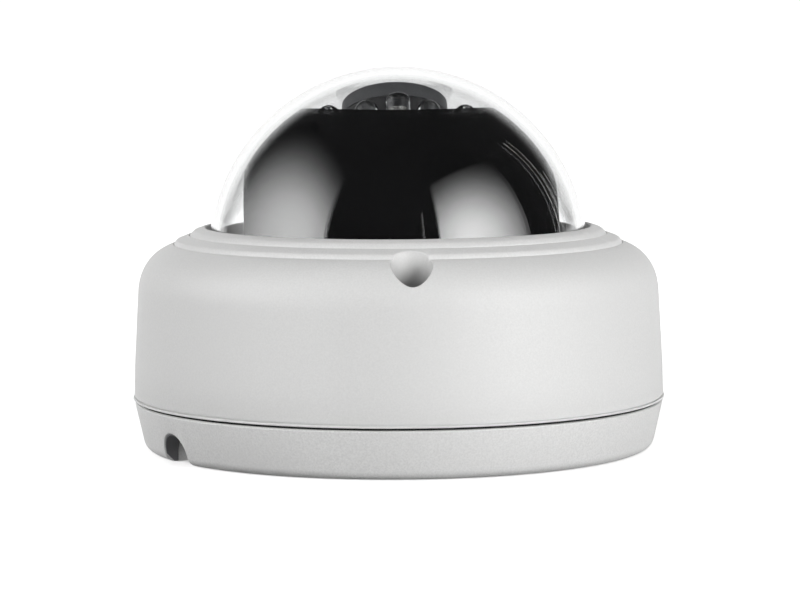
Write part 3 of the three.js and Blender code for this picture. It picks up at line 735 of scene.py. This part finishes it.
piece("base_casting", base_shape(), WHITE_BASE, "base_housing")
# painted shade: a dark sheet in the cable passage in place of the shade on its walls
piece("notch_shade_sleeve", notch_shade_sleeve(), SHADE_SLEEVE, "base_housing", stands_for=False)
piece("seam_gasket", lathe([
    (52.75, SEAM_Z + 0.01), (54.5, SEAM_Z + 0.01), (54.5, SEAM_Z + 0.08, 0.03), (53.8, SEAM_Z + 0.08),
    (53.8, COVER_LOW - 0.03, 0.08), (52.75, COVER_LOW - 0.03, 0.08)], ROUND), RUBBER, "base_gasket")
gland = lathe([
    (3.3, 2.8, 0.2), (4.1, 2.8, 0.3), (6.4, 4.1, 0.3), (6.4, 4.9, 0.1), (4.9, 4.9), (4.9, 7.7),
    (6.4, 7.7, 0.1), (6.4, 8.8, 0.4), (4.1, 9.6, 0.3), (3.3, 9.6, 0.2)], 64)
piece("cable_seal", moved(gland, *GLAND_AT), RUBBER, "cable_grommet")

# --- cover and bubble
COVER_WALL = [
    (55.1, COVER_LOW), *bezier((55.25, COVER_LOW), (55.42, 10.6), (55.42, 10.95), (55.25, 11.02), 5),
    (54.6, 11.06), (54.6, 11.28), (55.08, 11.33), (55.12, 11.5), (55.0, 17.5), (54.72, 22.6),
]
COVER_SHOULDER = [
    (54.45, 27.6), *bezier((54.15, 33.0), (53.9, 38.3), (50.6, 41.6), (46.8, 42.6), 24),
]
COVER_STEPS = [
    (46.78, GROOVE_LOW), (46.63, GROOVE_LOW), (46.57, 42.6), (46.5, 42.9),
    *bezier((46.35, 43.1), (46.2, 43.45), (46.0, 43.6), (45.6, 43.75), 5),
    (43.5, 44.5), (43.47, GROOVE_HIGH), (43.32, GROOVE_HIGH), (43.26, 44.5),
    *bezier((43.1, 44.75), (42.8, 45.1), (42.6, 45.4), (42.1, 45.6), 6),
    *bezier((41.6, 45.75), (41.1, 45.95), (40.6, 46.1), (40.25, 46.08), 4),
    (39.95, 45.9), (OPENING_R, 45.6),
]
COVER_LINE = [*COVER_WALL, *COVER_SHOULDER, *COVER_STEPS]


def cover_height(radius):
    """Height of the cover's outside at a radius, with the fine grooves at the foot of the steps left out."""
    top = [(r, z) for r, z in COVER_LINE if z > 20 and z not in (GROOVE_LOW, GROOVE_HIGH)]
    return interpolate(sorted(top), radius)


def pocket_cutter(angle):
    cx, cy = polar(SCREW_CIRCLE, angle)
    rim = [(*polar(POCKET_R, 360 * k / 96), *polar(1, 360 * k / 96)) for k in range(96)]
    return soft_cutter(rim, POCKET_FLOOR, lambda u, v: cover_height(math.hypot(cx + u, cy + v)),
                       lambda u, v, w: Vector((cx + u, cy + v, w)))


def cover_shape():
    shell = lathe([
        *COVER_LINE, (OPENING_R, 39.0, 0.2),
        *bezier((46.9, 39.0), (49.4, 38.6), (51.3, 36.2), (51.7, 33.0), 8),
        (51.9, 31.5), (52.85, 13.9), (52.85, COVER_LOW, 0.1),
    ], ROUND)
    room = lathe([(0, 12.0), *[(r - 0.4, z - 0.3) for r, z in COVER_LINE if z > 12], (0, 45.0)], ROUND)
    bosses = rods_at(SCREW_CIRCLE, COVER_ANGLES, 5.0, 14.0, 40.6, 64)
    whole = fuse(shell, boolean(joined(*bosses), room, "INTERSECT"))
    holes = rods_at(SCREW_CIRCLE, COVER_ANGLES, SCREW_HOLE_R, 10, POCKET_FLOOR + 0.2)
    holes += rods_at(CLAMP_SCREW_R, LEG_ANGLES, CLAMP_HOLE_R, 30, 41.4, 24)
    return cut(cut(whole, *[pocket_cutter(angle) for angle in COVER_ANGLES]), *holes)


def shade_pockets(mesh):
    """Gives the faces inside the screw pockets the coat with painted shade, which darkens down into them."""
    mesh.materials.append(WHITE_POCKET_SHADE)
    centres = [Vector(polar(SCREW_CIRCLE, angle)) * MM for angle in COVER_ANGLES]
    for polygon in mesh.polygons:
        spot = polygon.center
        inside = any((spot.xy - centre).length < (POCKET_R + 0.02) * MM for centre in centres)
        if inside and spot.z > (POCKET_FLOOR - 0.1) * MM:
            polygon.material_index = 1


shade_pockets(piece("cover_casting", cover_shape(), WHITE, "dome_cover").data)

FLANGE_LOW, FLANGE_TOP = 36.4, 38.2
BUBBLE_IN = BUBBLE_R - BUBBLE_WALL
bubble_outer = arc(0, CENTRE_Z, BUBBLE_R, 0, 90, 64)
bubble_inner = arc(0, CENTRE_Z, BUBBLE_IN, 90, 0, 64)
bubble_outer[-1], bubble_inner[0] = (0, CENTRE_Z + BUBBLE_R), (0, CENTRE_Z + BUBBLE_IN)
piece("dome_bubble", lathe([
    *bubble_inner, (BUBBLE_IN, FLANGE_LOW, 0.2), (42.9, FLANGE_LOW, 0.2), (42.9, FLANGE_TOP, 0.2),
    (BUBBLE_R, FLANGE_TOP, 0.3), *bubble_outer], ROUND), BUBBLE_GLASS, "clear_bubble", shadow=False)
piece("bubble_seal", ring(40.3, 42.9, 38.25, 38.95, 0.2, ROUND), RUBBER, "bubble_gasket")


def clamp_shape():
    body = lathe([(38.2, 34.5, 0.3), (46.3, 34.5, 0.3), (46.3, 38.9, 0.2), (43.3, 38.9, 0.2),
                  (43.3, 36.3, 0.1), (38.2, 36.3, 0.2)], ROUND)
    return cut(body, *rods_at(SCREW_CIRCLE, COVER_ANGLES, 5.4, 30, 42),
               *rods_at(CLAMP_SCREW_R, LEG_ANGLES, CLAMP_HOLE_R, 30, 42, 24))


piece("bubble_clamp", clamp_shape(), GREY, "clamp_ring")

# --- screws
for i, angle in enumerate(COVER_ANGLES, 1):
    x, y = polar(SCREW_CIRCLE, angle)
    piece(f"captive_screw_{i}", moved(screw_shape(3.2, 33.1, 3.2, 1.5, 6.9, 1.5, 14.0), x, y),
          STEEL, f"cover_screw_{i}")
    x, y = polar(BOARD_POST_R, angle)
    piece(f"post_screw_{i}", moved(screw_shape(2.3, OVER_BOARD, 1.6, 1.15, 8.6, 0.8), x, y),
          STEEL, f"board_screw_{i}")
for i, angle in enumerate(LEG_ANGLES, 1):
    x, y = polar(SEAT_SCREW_R, angle)
    piece(f"leg_screw_{i}", moved(screw_shape(2.3, 9.7, 1.6, 1.15, 6.0, 0.8), x, y),
          STEEL, f"seat_screw_{i}")
    x, y = polar(CLAMP_SCREW_R, angle)
    under = Matrix.Translation((x, y, 34.5)) @ spin(180, "X")
    piece(f"ring_screw_{i}", moved(screw_shape(2.2, 0.05, 1.6, 1.1, -6.5, 0.8), matrix=under),
          STEEL, f"clamp_screw_{i}")

# --- electronics in the base
BOARD_LOW = 12.0


def board_shape():
    plate = rod(0, 0, 36.4, BOARD_LOW, BOARD_TOP, ROUND, 0.1)
    return cut(plate, *rods_at(BOARD_POST_R, COVER_ANGLES, 1.5, 10, 16), rod(*GLAND_AT, 4.2, 10, 16, 64))


def pins(count, pitch, reach, low, high, wide=0.28):
    """A row of small leads along X, centred, each from the package edge out to reach."""
    start = -(count - 1) * pitch / 2
    return [block(start + k * pitch - wide / 2, start + k * pitch + wide / 2, *reach, low, high, 0.03)
            for k in range(count)]


def chip(name, node, x, y, turn, half_x, half_y, height, low, leads, sides=4, place=AT_REST,
         stands_for=False):
    """A flat package with leads on two or four sides, and a dot at its first pin."""
    body = block(-half_x, half_x, -half_y, half_y, low + 0.12, low + height, 0.18)
    dot = rod(-half_x + 1.0, half_y - 1.0, 0.35, low + height - 0.06, low + height + 1, 20)
    piece(name, moved(cut(body, dot), x, y, turn), PACKAGE, node, place, stands_for)
    rows = []
    for side in range(0, 360, 360 // sides):
        edge = half_y if side % 180 == 0 else half_x
        row = pins(leads, 0.8, (edge - 0.1, edge + 0.7), low + 0.02, low + 0.22)
        rows += [moved(lead, turn=side) for lead in row]
    piece(f"{name}_leads", moved(joined(*rows), x, y, turn), TIN, node, place, False)


def header_shape(width, painted_shade, height):
    low, top, x, y, wall = OVER_BOARD, OVER_BOARD + height, width / 2, painted_shade / 2, 0.8
    shell = block(-x, x, -y, y, low, top, 0.15)
    socket = block(-x + wall, x - wall, -y + wall, y - wall, low + 1, top + 1, 0)
    key = block(-1.2, 1.2, y - 1.2, y + 1, low + 1.4, top + 1, 0)
    return cut(cut(shell, socket), key)


def header(name, node, width, count, x, y, turn):
    piece(name, moved(header_shape(width, 5, 4.4), x, y, turn), NYLON, node)
    posts = pins(count, (width - 3) / (count - 1), (-0.3, 0.3), BOARD_TOP + 0.8, BOARD_TOP + 3.9, 0.6)
    piece(f"{name}_pins", moved(joined(*posts), x, y, turn), TIN, node, stands_for=False)


piece("logic_board", board_shape(), GREEN, "main_board")
chip("processor", "main_chip", 0, 0, 0, 6, 6, 1.3, OVER_BOARD, 12, stands_for=True)
header("network_socket", "network_header", 16, 8, 29.5, 0, 90)
header("power_socket", "power_header", 8, 2, 22, -20, -42)
chip("flash_chip", "main_board", 13, -6, 20, 2.4, 3.0, 1.1, ON_BOARD, 4, 2)
chip("driver_chip", "main_board", -9, -19, -35, 3.0, 2.2, 1.1, ON_BOARD, 5, 2)
chip("power_chip", "main_board", 9, -25, 12, 2.0, 2.0, 1.0, ON_BOARD, 4)


def capacitor(x, y, r, top):
    low = ON_BOARD
    base = block(-r - 0.2, r + 0.2, -r - 0.2, r + 0.2, low, low + 0.5, 0.15)
    can = lathe([(0, low + 0.5), (r, low + 0.5), (r, low + 1.0, 0.2), (r - 0.25, low + 1.3, 0.2),
                 (r, low + 1.6, 0.2), (r, top, 0.35), (0, top)], SMALL)
    return moved(base, x, y), moved(can, x, y)


CAPACITORS = [(31.0, 118.0, 2.6, 19.0), (31.0, 129.5, 2.6, 19.0), (30.5, 236.0, 2.9, 19.2),
              (30.5, 250.0, 2.9, 19.2), (21.5, 100.0, 2.0, 16.2)]
feet, cans = zip(*[capacitor(*polar(radius, angle), r, top) for radius, angle, r, top in CAPACITORS])
piece("capacitor_feet", joined(*feet), PACKAGE, "main_board", stands_for=False)
piece("capacitor_cans", joined(*cans), ALLOY, "main_board", stands_for=False)
COIL_AT = polar(27.5, -66)
coil_core = fuse(block(-3, 3, -3, 3, ON_BOARD, BOARD_TOP + 2.8, 0.5),
                 rod(0, 0, 2.1, BOARD_TOP + 1, BOARD_TOP + 3.0))
piece("power_coil", moved(coil_core, *COIL_AT, 24), PACKAGE, "main_board", stands_for=False)

# circles of the board that are taken, as (x, y, radius), and then small parts scattered over the rest
TAKEN = [(0, 0, 8.5), (29.5, 0, 9), (22, -20, 6.5), (13, -6, 4.6), (-9, -19, 4.8), (9, -25, 4.2),
         (-30, 3, 5), (*GLAND_AT, 6), (*polar(28, 63), 11), (*COIL_AT, 5)]
TAKEN += [(*polar(BOARD_POST_R, angle), 3.6) for angle in COVER_ANGLES]
TAKEN += [(*polar(radius, angle), r + 1.2) for radius, angle, r, top in CAPACITORS]
SMALL_PARTS = 46
bodies, ends = [], []
while len(bodies) < SMALL_PARTS:
    x, y = polar(random.uniform(6, 34), random.uniform(0, 360))
    turn = random.choice((0, 90))
    if any(math.hypot(x - tx, y - ty) < tr + 1.1 for tx, ty, tr in TAKEN):
        continue
    TAKEN.append((x, y, 1.3))
    bodies.append(moved(block(-0.55, 0.55, -0.42, 0.42, ON_BOARD, ON_BOARD + 0.5, 0.05), x, y, turn))
    for middle in (-0.68, 0.68):
        end = block(middle - 0.16, middle + 0.16, -0.45, 0.45, ON_BOARD, ON_BOARD + 0.52, 0.05)
        ends.append(moved(end, x, y, turn))
piece("small_parts", joined(*bodies), PACKAGE, "main_board", stands_for=False)
piece("small_part_ends", joined(*ends), TIN, "main_board", stands_for=False)

CARD = spin(-27)
card_shell = cut(block(-8, 8, 21, 35, OVER_BOARD, BOARD_TOP + 2.25, 0.2),
                 block(-6.8, 6.8, 22, 36, BOARD_TOP + 0.55, BOARD_TOP + 1.85, 0),
                 rod(-4, 25, 1.2, BOARD_TOP + 2.0, 20), rod(4, 25, 1.2, BOARD_TOP + 2.0, 20),
                 block(-3.5, 3.5, 30, 31, BOARD_TOP + 2.0, 20, 0))
piece("card_holder", card_shell, ALLOY, "card_slot", CARD)
card_body = cut(block(-5.5, 5.5, 22.5, 35.4, BOARD_TOP + 0.85, BOARD_TOP + 1.55, 0.12),
                block(4.6, 6, 25.5, 28.5, 10, 20, 0))
piece("card_body", card_body, SATIN, "memory_card", CARD)
piece("tact_switch", joined(block(-33.1, -26.9, -0.1, 6.1, OVER_BOARD, BOARD_TOP + 1.6, 0.15),
                            block(-32.9, -27.1, 0.1, 5.9, BOARD_TOP + 1.6, BOARD_TOP + 2.0, 0.15)),
      ALLOY, "reset_switch")
piece("key_top", rod(-30, 3, 1.6, BOARD_TOP + 2.7, BOARD_TOP + 4.2, SMALL, 0.3), SATIN, "reset_cap")

# --- gimbal stand
LEG_IN, LEG_W = 37.7, 9.0


def seat_shape():
    plate = ring(28.5, 40.2, 20.0, SEAT_TOP, 0.2, ROUND)
    legs = [moved(fuse(block(LEG_IN, 40.15, -LEG_W / 2, LEG_W / 2, 7.65, 20.8, 0.25),
                       block(LEG_IN + 0.1, 47.0, -LEG_W / 2 + 0.05, LEG_W / 2 - 0.05, 7.66, 9.65, 0.3)),
                  turn=angle) for angle in LEG_ANGLES]
    holes = rods_at(SEAT_SCREW_R, LEG_ANGLES, 1.4, 0, 12)
    windows = [moved(block(31.0, 36.5, -4.5, 4.5, 18, 24, 1.0), turn=angle + 60) for angle in LEG_ANGLES]
    return cut(cut(fuse(plate, *legs), *holes), *windows)


piece("stand", seat_shape(), GREY, "gimbal_seat")
piece("pan_keeper", lathe([(35.6, 23.9, 0.2), (37.7, 23.9, 0.2), (37.7, 22.05, 0.1), (40.2, 22.05, 0.1),
                           (40.2, 25.4, 0.6), (35.6, 25.4, 0.3)], ROUND), GREY, "pan_retainer")


# --- pan stage
def turntable_shape():
    body = lathe([(26.5, 22.3, 0.2), (37.3, 22.3, 0.2), (37.3, 23.6, 0.2), (35.2, 23.6, 0.2),
                  (35.2, HUB_TOP, 0.4), (26.5, HUB_TOP, 0.3)], ROUND)
    teeth = [moved(block(26.0, 26.9, -0.35, 0.35, 22.8, 26.4, 0), turn=5 * k) for k in range(72)]
    return cut(body, *teeth)


def yoke_shape():
    low = HUB_TOP + 0.05
    parts = []
    for turn in (0, 180):
        plate = block(24.9, 27.0, -7, 7, low + 0.4, CENTRE_Z, 0.15)
        eye = moved(rod(0, 0, 7, 24.9, 27.0, 64, 0.2), matrix=AT_CENTRE @ ACROSS)
        foot = block(24.9, 28.3, -11, 11, low, low + 2.0, 0.25)
        bore = moved(rod(0, 0, 2.3, 20, 40), matrix=AT_CENTRE @ ACROSS)
        arm = cut(fuse(fuse(foot, plate), eye), bore, rod(26.9, 9.2, 1.1, 20, 35))
        parts.append(moved(arm, turn=turn))
    tie = cut(ring(26.6, 28.6, low, low + 1.2, 0.2, ROUND), block(-40, 40, 0.5, 40, 0, 60, 0),
              block(-40, -24.95, -14, 14, 0, 60, 0), block(24.95, 40, -14, 14, 0, 60, 0))
    return joined(*parts, tie)


piece("turntable", turntable_shape(), SATIN, "pan_ring", PAN)
piece("gimbal_fork", yoke_shape(), GREY, "yoke", PAN)
for side, name in SIDES:
    small = moved(screw_shape(1.3, HUB_TOP + 2.15, 0.9, 0.8, HUB_TOP + 0.3, 0.5), 26.9 * side, 9.2 * side)
    piece(f"fork_screw_{name}", small, STEEL, f"yoke_screw_{name}", PAN)


def soft_limit(value, limit, blend=0.12):
    """value held to within plus or minus limit, over a small rounded edge."""
    size = abs(value)
    held = limit if size - limit > 12 * blend else \
        size - blend * math.log1p(math.exp(min((size - limit) / blend, 40)))
    return math.copysign(held, value)


def shroud_skin(radius, flat, z, angles):
    """Points across the shroud at height z, from its right side round the front to its left."""
    rho = math.sqrt(max(radius * radius - z * z, 0))
    out = []
    for a in angles(rho, flat):
        x, y = rho * math.cos(a), -rho * math.sin(a)
        out.append(Vector((soft_limit(x, flat) if rho > flat - 2 else x, y, z)))
    return out


def flat_angles(rho, flat):
    """The angle where a circle of radius rho leaves the flat, and angles up to it, closer near its end."""
    corner = math.acos(min(1, flat / rho)) if rho > flat else 0.0
    return corner, [corner * (1 - (1 - k / 14) ** 1.6) for k in range(14)]


def near_angles(rho, flat):
    """Angles right across the near half of the shroud."""
    corner, side = flat_angles(rho, flat)
    front = []
    for k in range(81):
        t = k / 80
        eased = t - 0.12 * math.sin(2 * math.pi * t) / 1.4
        front.append(corner + (math.pi - 2 * corner) * eased)
    return side + front + [math.pi - a for a in reversed(side)]


def far_angles(rho, flat):
    """Angles from the right of the shroud to the edge of the slot at its back."""
    corner, side = flat_angles(rho, flat)
    end = math.acos(min(1, SLOT_HALF / rho)) if rho > SLOT_HALF else corner
    strip = [corner + (max(end, corner) - corner) * k / 10 for k in range(11)]
    return [-a for a in side + strip]


def shell_grid(radius, inner, flat, flat_in, angles, heights):
    """A closed thin shell between an outer and an inner skin."""
    shape = bmesh.new()
    skins = [[shroud_skin(radius, flat, z, angles) for z in heights],
             [shroud_skin(inner, flat_in, min(z, inner - 0.01), angles) for z in heights]]
    outer, inside = [[[shape.verts.new(p) for p in row] for row in skin] for skin in skins]
    rows, columns = len(heights), len(outer[0])

    def face(*corners):
        shape.faces.new(corners)

    for i in range(rows - 1):
        for k in range(columns - 1):
            face(outer[i][k], outer[i][k + 1], outer[i + 1][k + 1], outer[i + 1][k])
            face(inside[i][k + 1], inside[i][k], inside[i + 1][k], inside[i + 1][k + 1])
        for k in (0, columns - 1):
            face(outer[i][k], outer[i + 1][k], inside[i + 1][k], inside[i][k])
    for k in range(columns - 1):
        face(outer[0][k + 1], outer[0][k], inside[0][k], inside[0][k + 1])
        face(outer[-1][k], outer[-1][k + 1], inside[-1][k + 1], inside[-1][k])
    bmesh.ops.remove_doubles(shape, verts=shape.verts[:], dist=1e-4)
    bmesh.ops.dissolve_degenerate(shape, dist=1e-4, edges=shape.edges[:])
    return outward(shape)


SHROUD_LOW = HUB_TOP + 0.05 - CENTRE_Z


def shroud_shape():
    inner = SHROUD_R - SHROUD_WALL
    heights = [SHROUD_LOW + (SHROUD_TOP - SHROUD_LOW) * k / 72 for k in range(73)]
    near = shell_grid(SHROUD_R, inner, NEAR_FLAT, NEAR_FLAT - SHROUD_WALL, near_angles, heights)
    limit = math.sqrt(SHROUD_R ** 2 - SLOT_HALF ** 2) - 0.4
    low = [SHROUD_LOW + (min(limit, SHROUD_TOP) - SHROUD_LOW) * k / 60 for k in range(61)]
    far = shell_grid(SHROUD_R, inner, FAR_FLAT, FAR_FLAT - SHROUD_WALL, far_angles, low)
    far_left = far.copy()
    bmesh.ops.transform(far_left, matrix=Matrix.Scale(-1, 4, (1, 0, 0)), verts=far_left.verts[:])
    outward(far_left)
    ledge = cut(ring(27.5, 36.7, 4.8, 5.6, 0.2, ROUND), block(-30.9, 30.9, -50, 0, 0, 10, 0),
                block(-29.5, 29.5, -0.001, 50, 0, 10, 0))
    back = joined(far, far_left)
    sill = cut(ring(34.2, 35.4, SHROUD_LOW, -11.0, 0.1, ROUND), block(-50, 50, -50, 0, -20, 0, 0),
               block(-50, -29, -50, 50, -20, 0, 0), block(29, 50, -50, 50, -20, 0, 0))
    return joined(near, back, ledge, sill)


piece("head_shroud", shroud_shape(), GLOSS, "shroud",
      AT_CENTRE @ PAN, crease=28)

# --- tilt stage
def tilt_ring_shape():
    body = fuse(ring(20.9, 23.0, -3.5, 3.5, 0.25), *[
        block(min(21.8 * s, 24.4 * s), max(21.8 * s, 24.4 * s), -5, 5, -3.45, 3.45, 0.3) for s in (1, -1)])
    return cut(cut(body, rod(0, 0, 20.9, -10, 10, RING)), moved(rod(0, 0, 2.1, -40, 40), matrix=ACROSS))


piece("tilt_hoop", tilt_ring_shape(), SATIN, "tilt_ring", TILT)
for side, name in SIDES:
    pivot = lathe([(0, 21.3), (2.0, 21.3, 0.3), (2.0, 27.3), (3.5, 27.3, 0.1), (3.5, 28.4, 0.35),
                   (1.5, 28.4), (0, 28.4)], SMALL)
    pivot = cut(pivot, lathe([(0, 27.6), (1.3, 27.6), (1.3, 32), (0, 32)], 6))
    piece(f"pivot_pin_{name}", moved(pivot, matrix=spin(90 * side, "Y")), STEEL, f"pivot_screw_{name}", TILT)


# --- camera module
def housing_shape():
    body = lathe([(17.5, -3.5, 0.2), (20.6, -3.5, 0.2), (20.6, 3.8, 0.1), (22.4, 3.8, 0.2),
                  (22.4, 5.4, 0.3), (17.5, 5.4, 0.3), (17.5, 4.2, 0.1), (10.2, 4.2, 0.2),
                  (10.2, 2.2, 0.2), (17.5, 2.2, 0.1)])
    grips = [moved(rod(22.55, 0, 0.42, 3.0, 6.0, 16), turn=6 * k) for k in range(60)]
    return cut(body, *grips)


piece("roll_drum", housing_shape(), SATIN, "module_housing", TILT)
piece("roll_keeper", ring(17.6, 22.4, -5.4, -3.8, 0.25), SATIN, "roll_retainer", TILT)
piece("imager_board", rod(0, 0, 16.6, -2.6, -1.0, RING, 0.1), GREEN, "sensor_board", TILT)
chip("imager", "image_sensor", 0, 0, 0, 4.5, 4.5, 1.3, -0.95, 8, place=TILT, stands_for=True)


def heat_sink_shape():
    body = rod(0, 0, 15.0, -6.4, -2.7, RING, 0.3)
    return cut(body, *[block(-20, 20, y, y + 1.5, -8, -4.2, 0) for y in range(-13, 13, 3)])


piece("cooling_fins", heat_sink_shape(), ALLOY, "heat_sink", TILT)


def holder_shape():
    neck = lathe([(0, 1.5), (8.9, 1.5), (8.9, 13.5, 0.4), (0, 13.5)])
    tube = cut(fuse(block(-9, 9, -9, 9, -0.9, 2.0, 0.3), neck),
               rod(0, 0, 7.3, 3.0, 20, 96), block(-7.4, 7.4, -7.4, 7.4, -2, 0.6, 0))
    return cut(tube, block(-20, 6.6, -3.7, 3.7, 0.5, 1.7, 0), rod(0, 0, 3.4, 1.0, 5))


piece("lens_mount", holder_shape(), SATIN, "lens_holder", TILT)
piece("lamp_bracket", ring(18.2, 19.6, 5.45, 19.65, 0.2), SATIN, "led_bracket", TILT)


def lamp_board_shape():
    plate = ring(11.3, 20.5, 19.7, LED_BOARD_TOP, 0.1)
    return cut(plate, rod(0, 17.6, 1.2, 19, 22), rod(18.6, -2.5, 0.9, 19, 22), rod(-18.6, 2.5, 0.9, 19, 22))


piece("lamp_board", lamp_board_shape(), BLACK_MASK, "led_board", TILT)
hood_wall = [(HOOD_IN, 21.4, 0.1), (HOOD_R, 21.4, 0.3), (HOOD_R, 31.7, 0.15)]
for k in range(12):
    z = 31.3 - k * 0.8
    hood_wall += [(HOOD_IN, z), (HOOD_IN + 0.25, z - 0.4)]
piece("hood_tube", lathe(hood_wall), SATIN, "lens_hood", TILT)
piece("hood_rim", lathe([(HOOD_IN, 31.8, 0.1), (HOOD_R, 31.8, 0.15), (HOOD_R, HOOD_TOP, 0.9),
                         (10.1, HOOD_TOP, 0.25), (8.8, 33.5, 0.2), (HOOD_IN, 32.9, 0.1)]),
      GREY, "hood_cap", TILT)

LAMP_AT = [(6.4, -12.9), (14.3, -10.6), (6.4, 12.9), (14.3, 10.6)]
lamps = [(side * x, y) for x, y in LAMP_AT for side in (-1, 1)]


def lamp_body(cap):
    """Clear epoxy body with its foot ring. cap is the radius of the rounding at its tip."""
    low = LED_BOARD_TOP + 0.05
    dome = arc(2.5 - cap, LED_TIP - cap, cap, 0, 90, 12)
    foot = [(0, low), (2.75, low, 0.1), (2.75, low + 0.95, 0.15), (2.5, low + 0.95)]
    return lathe([*foot, *dome, (0, LED_TIP)], 64)


def lamp_leads():
    """The metal inside one lamp: a cup on its post, and the thinner post beside it."""
    low = LED_BOARD_TOP + 0.3
    cup = lathe([(0, 24.9), (0.75, 24.9), (1.25, 26.5), (1.05, 26.5), (0.6, 25.3), (0, 25.3)], 32)
    anvil = block(-1.2, 0.5, -0.35, 0.35, 23.2, 24.9, 0.08)
    post = block(-1.5, -0.9, -0.25, 0.25, low, 23.3, 0.05)
    flag = block(0.8, 1.7, -0.3, 0.3, 23.6, 25.9, 0.08)
    other = block(0.95, 1.5, -0.25, 0.25, low, 23.7, 0.05)
    die = block(-0.2, 0.2, -0.2, 0.2, 25.3, 25.5, 0.02)
    return joined(cup, anvil, post, flag, other, die)


LAMPS = [(f"lamp_{i}", f"infrared_lamp_{i}", x, y) for i, (x, y) in enumerate(lamps, 1)]
LAMPS.append(("daylight_cell", "light_sensor", 0, -15.6))
for name, node, x, y in LAMPS:
    cap = 1.3 if node == "light_sensor" else 2.5
    piece(name, moved(lamp_body(cap), x, y), EPOXY, node, TILT, shadow=False)
    piece(f"{name}_leads", moved(lamp_leads(), x, y, 35 * x), TIN, node, TILT, False)

solder = []
for x, y in lamps:
    for a in (60, 180, 300):
        px, py = (start + step for start, step in zip((x, y), polar(3.6, a)))
        free = all(math.hypot(px - qx, py - qy) > 3.2 for qx, qy in lamps)
        if free and 12.0 < math.hypot(px, py) < 20.0:
            pad = block(-0.5, 0.5, -0.3, 0.3, LED_BOARD_TOP + 0.01, LED_BOARD_TOP + 0.45, 0.08)
            solder.append(moved(pad, px, py, a))
piece("lamp_board_parts", joined(*solder), TIN, "led_board", TILT, False)

# --- lens and filter
barrel = [(5.2, 4.0, 0.1), (7.0, 4.0, 0.2), (7.0, 14.0), (8.4, 14.6, 0.2), (8.4, 17.0)]
for k in range(9):
    z = 17.2 + k * 0.9
    barrel += [(8.1, z), (8.1, z + 0.4), (8.4, z + 0.5), (8.4, z + 0.85)]
barrel += [(8.4, 30.6, 0.3), (7.9, 31.2, 0.15), (6.9, 31.2, 0.1), (6.9, 28.6), (6.3, 28.2), (6.3, 27.6),
           (5.8, 27.2), (5.8, 26.8), (5.2, 26.5)]
piece("focus_barrel", lathe(barrel), SATIN, "lens_barrel", TILT)
piece("front_element", lathe([(0, 27.6), (5.6, 27.6, 0.1), (6.7, 28.9, 0.1), (6.7, 29.6),
                              *bezier((6.7, 29.6), (5.0, 30.7), (2.5, 31.1), (0, 31.1), 24)[1:]]),
      LENS_GLASS, "front_lens", TILT, shadow=False)
piece("rear_element", lathe([(0, 4.3), *bezier((0, 4.3), (2.0, 4.3), (4.0, 4.6), (5.0, 5.2), 10)[1:],
                             (5.0, 7.0, 0.1), (0, 7.0)]), LENS_GLASS, "rear_lens", TILT, shadow=False)
piece("filter_plate", block(-6.2, 6.2, -3.4, 3.4, 0.7, 1.5, 0.1), FILTER_GLASS, "filter_slide", TILT,
      shadow=False)
inner_stops = joined(lathe([(3.6, 22.0), (5.1, 22.0), (5.1, 22.6), (3.2, 22.6, 0.1)], 96),
                     lathe([(2.6, 15.0), (5.1, 15.0), (5.1, 15.6), (2.3, 15.6, 0.1)], 96))
piece("lens_stops", inner_stops, SATIN, "lens_barrel", TILT, False)
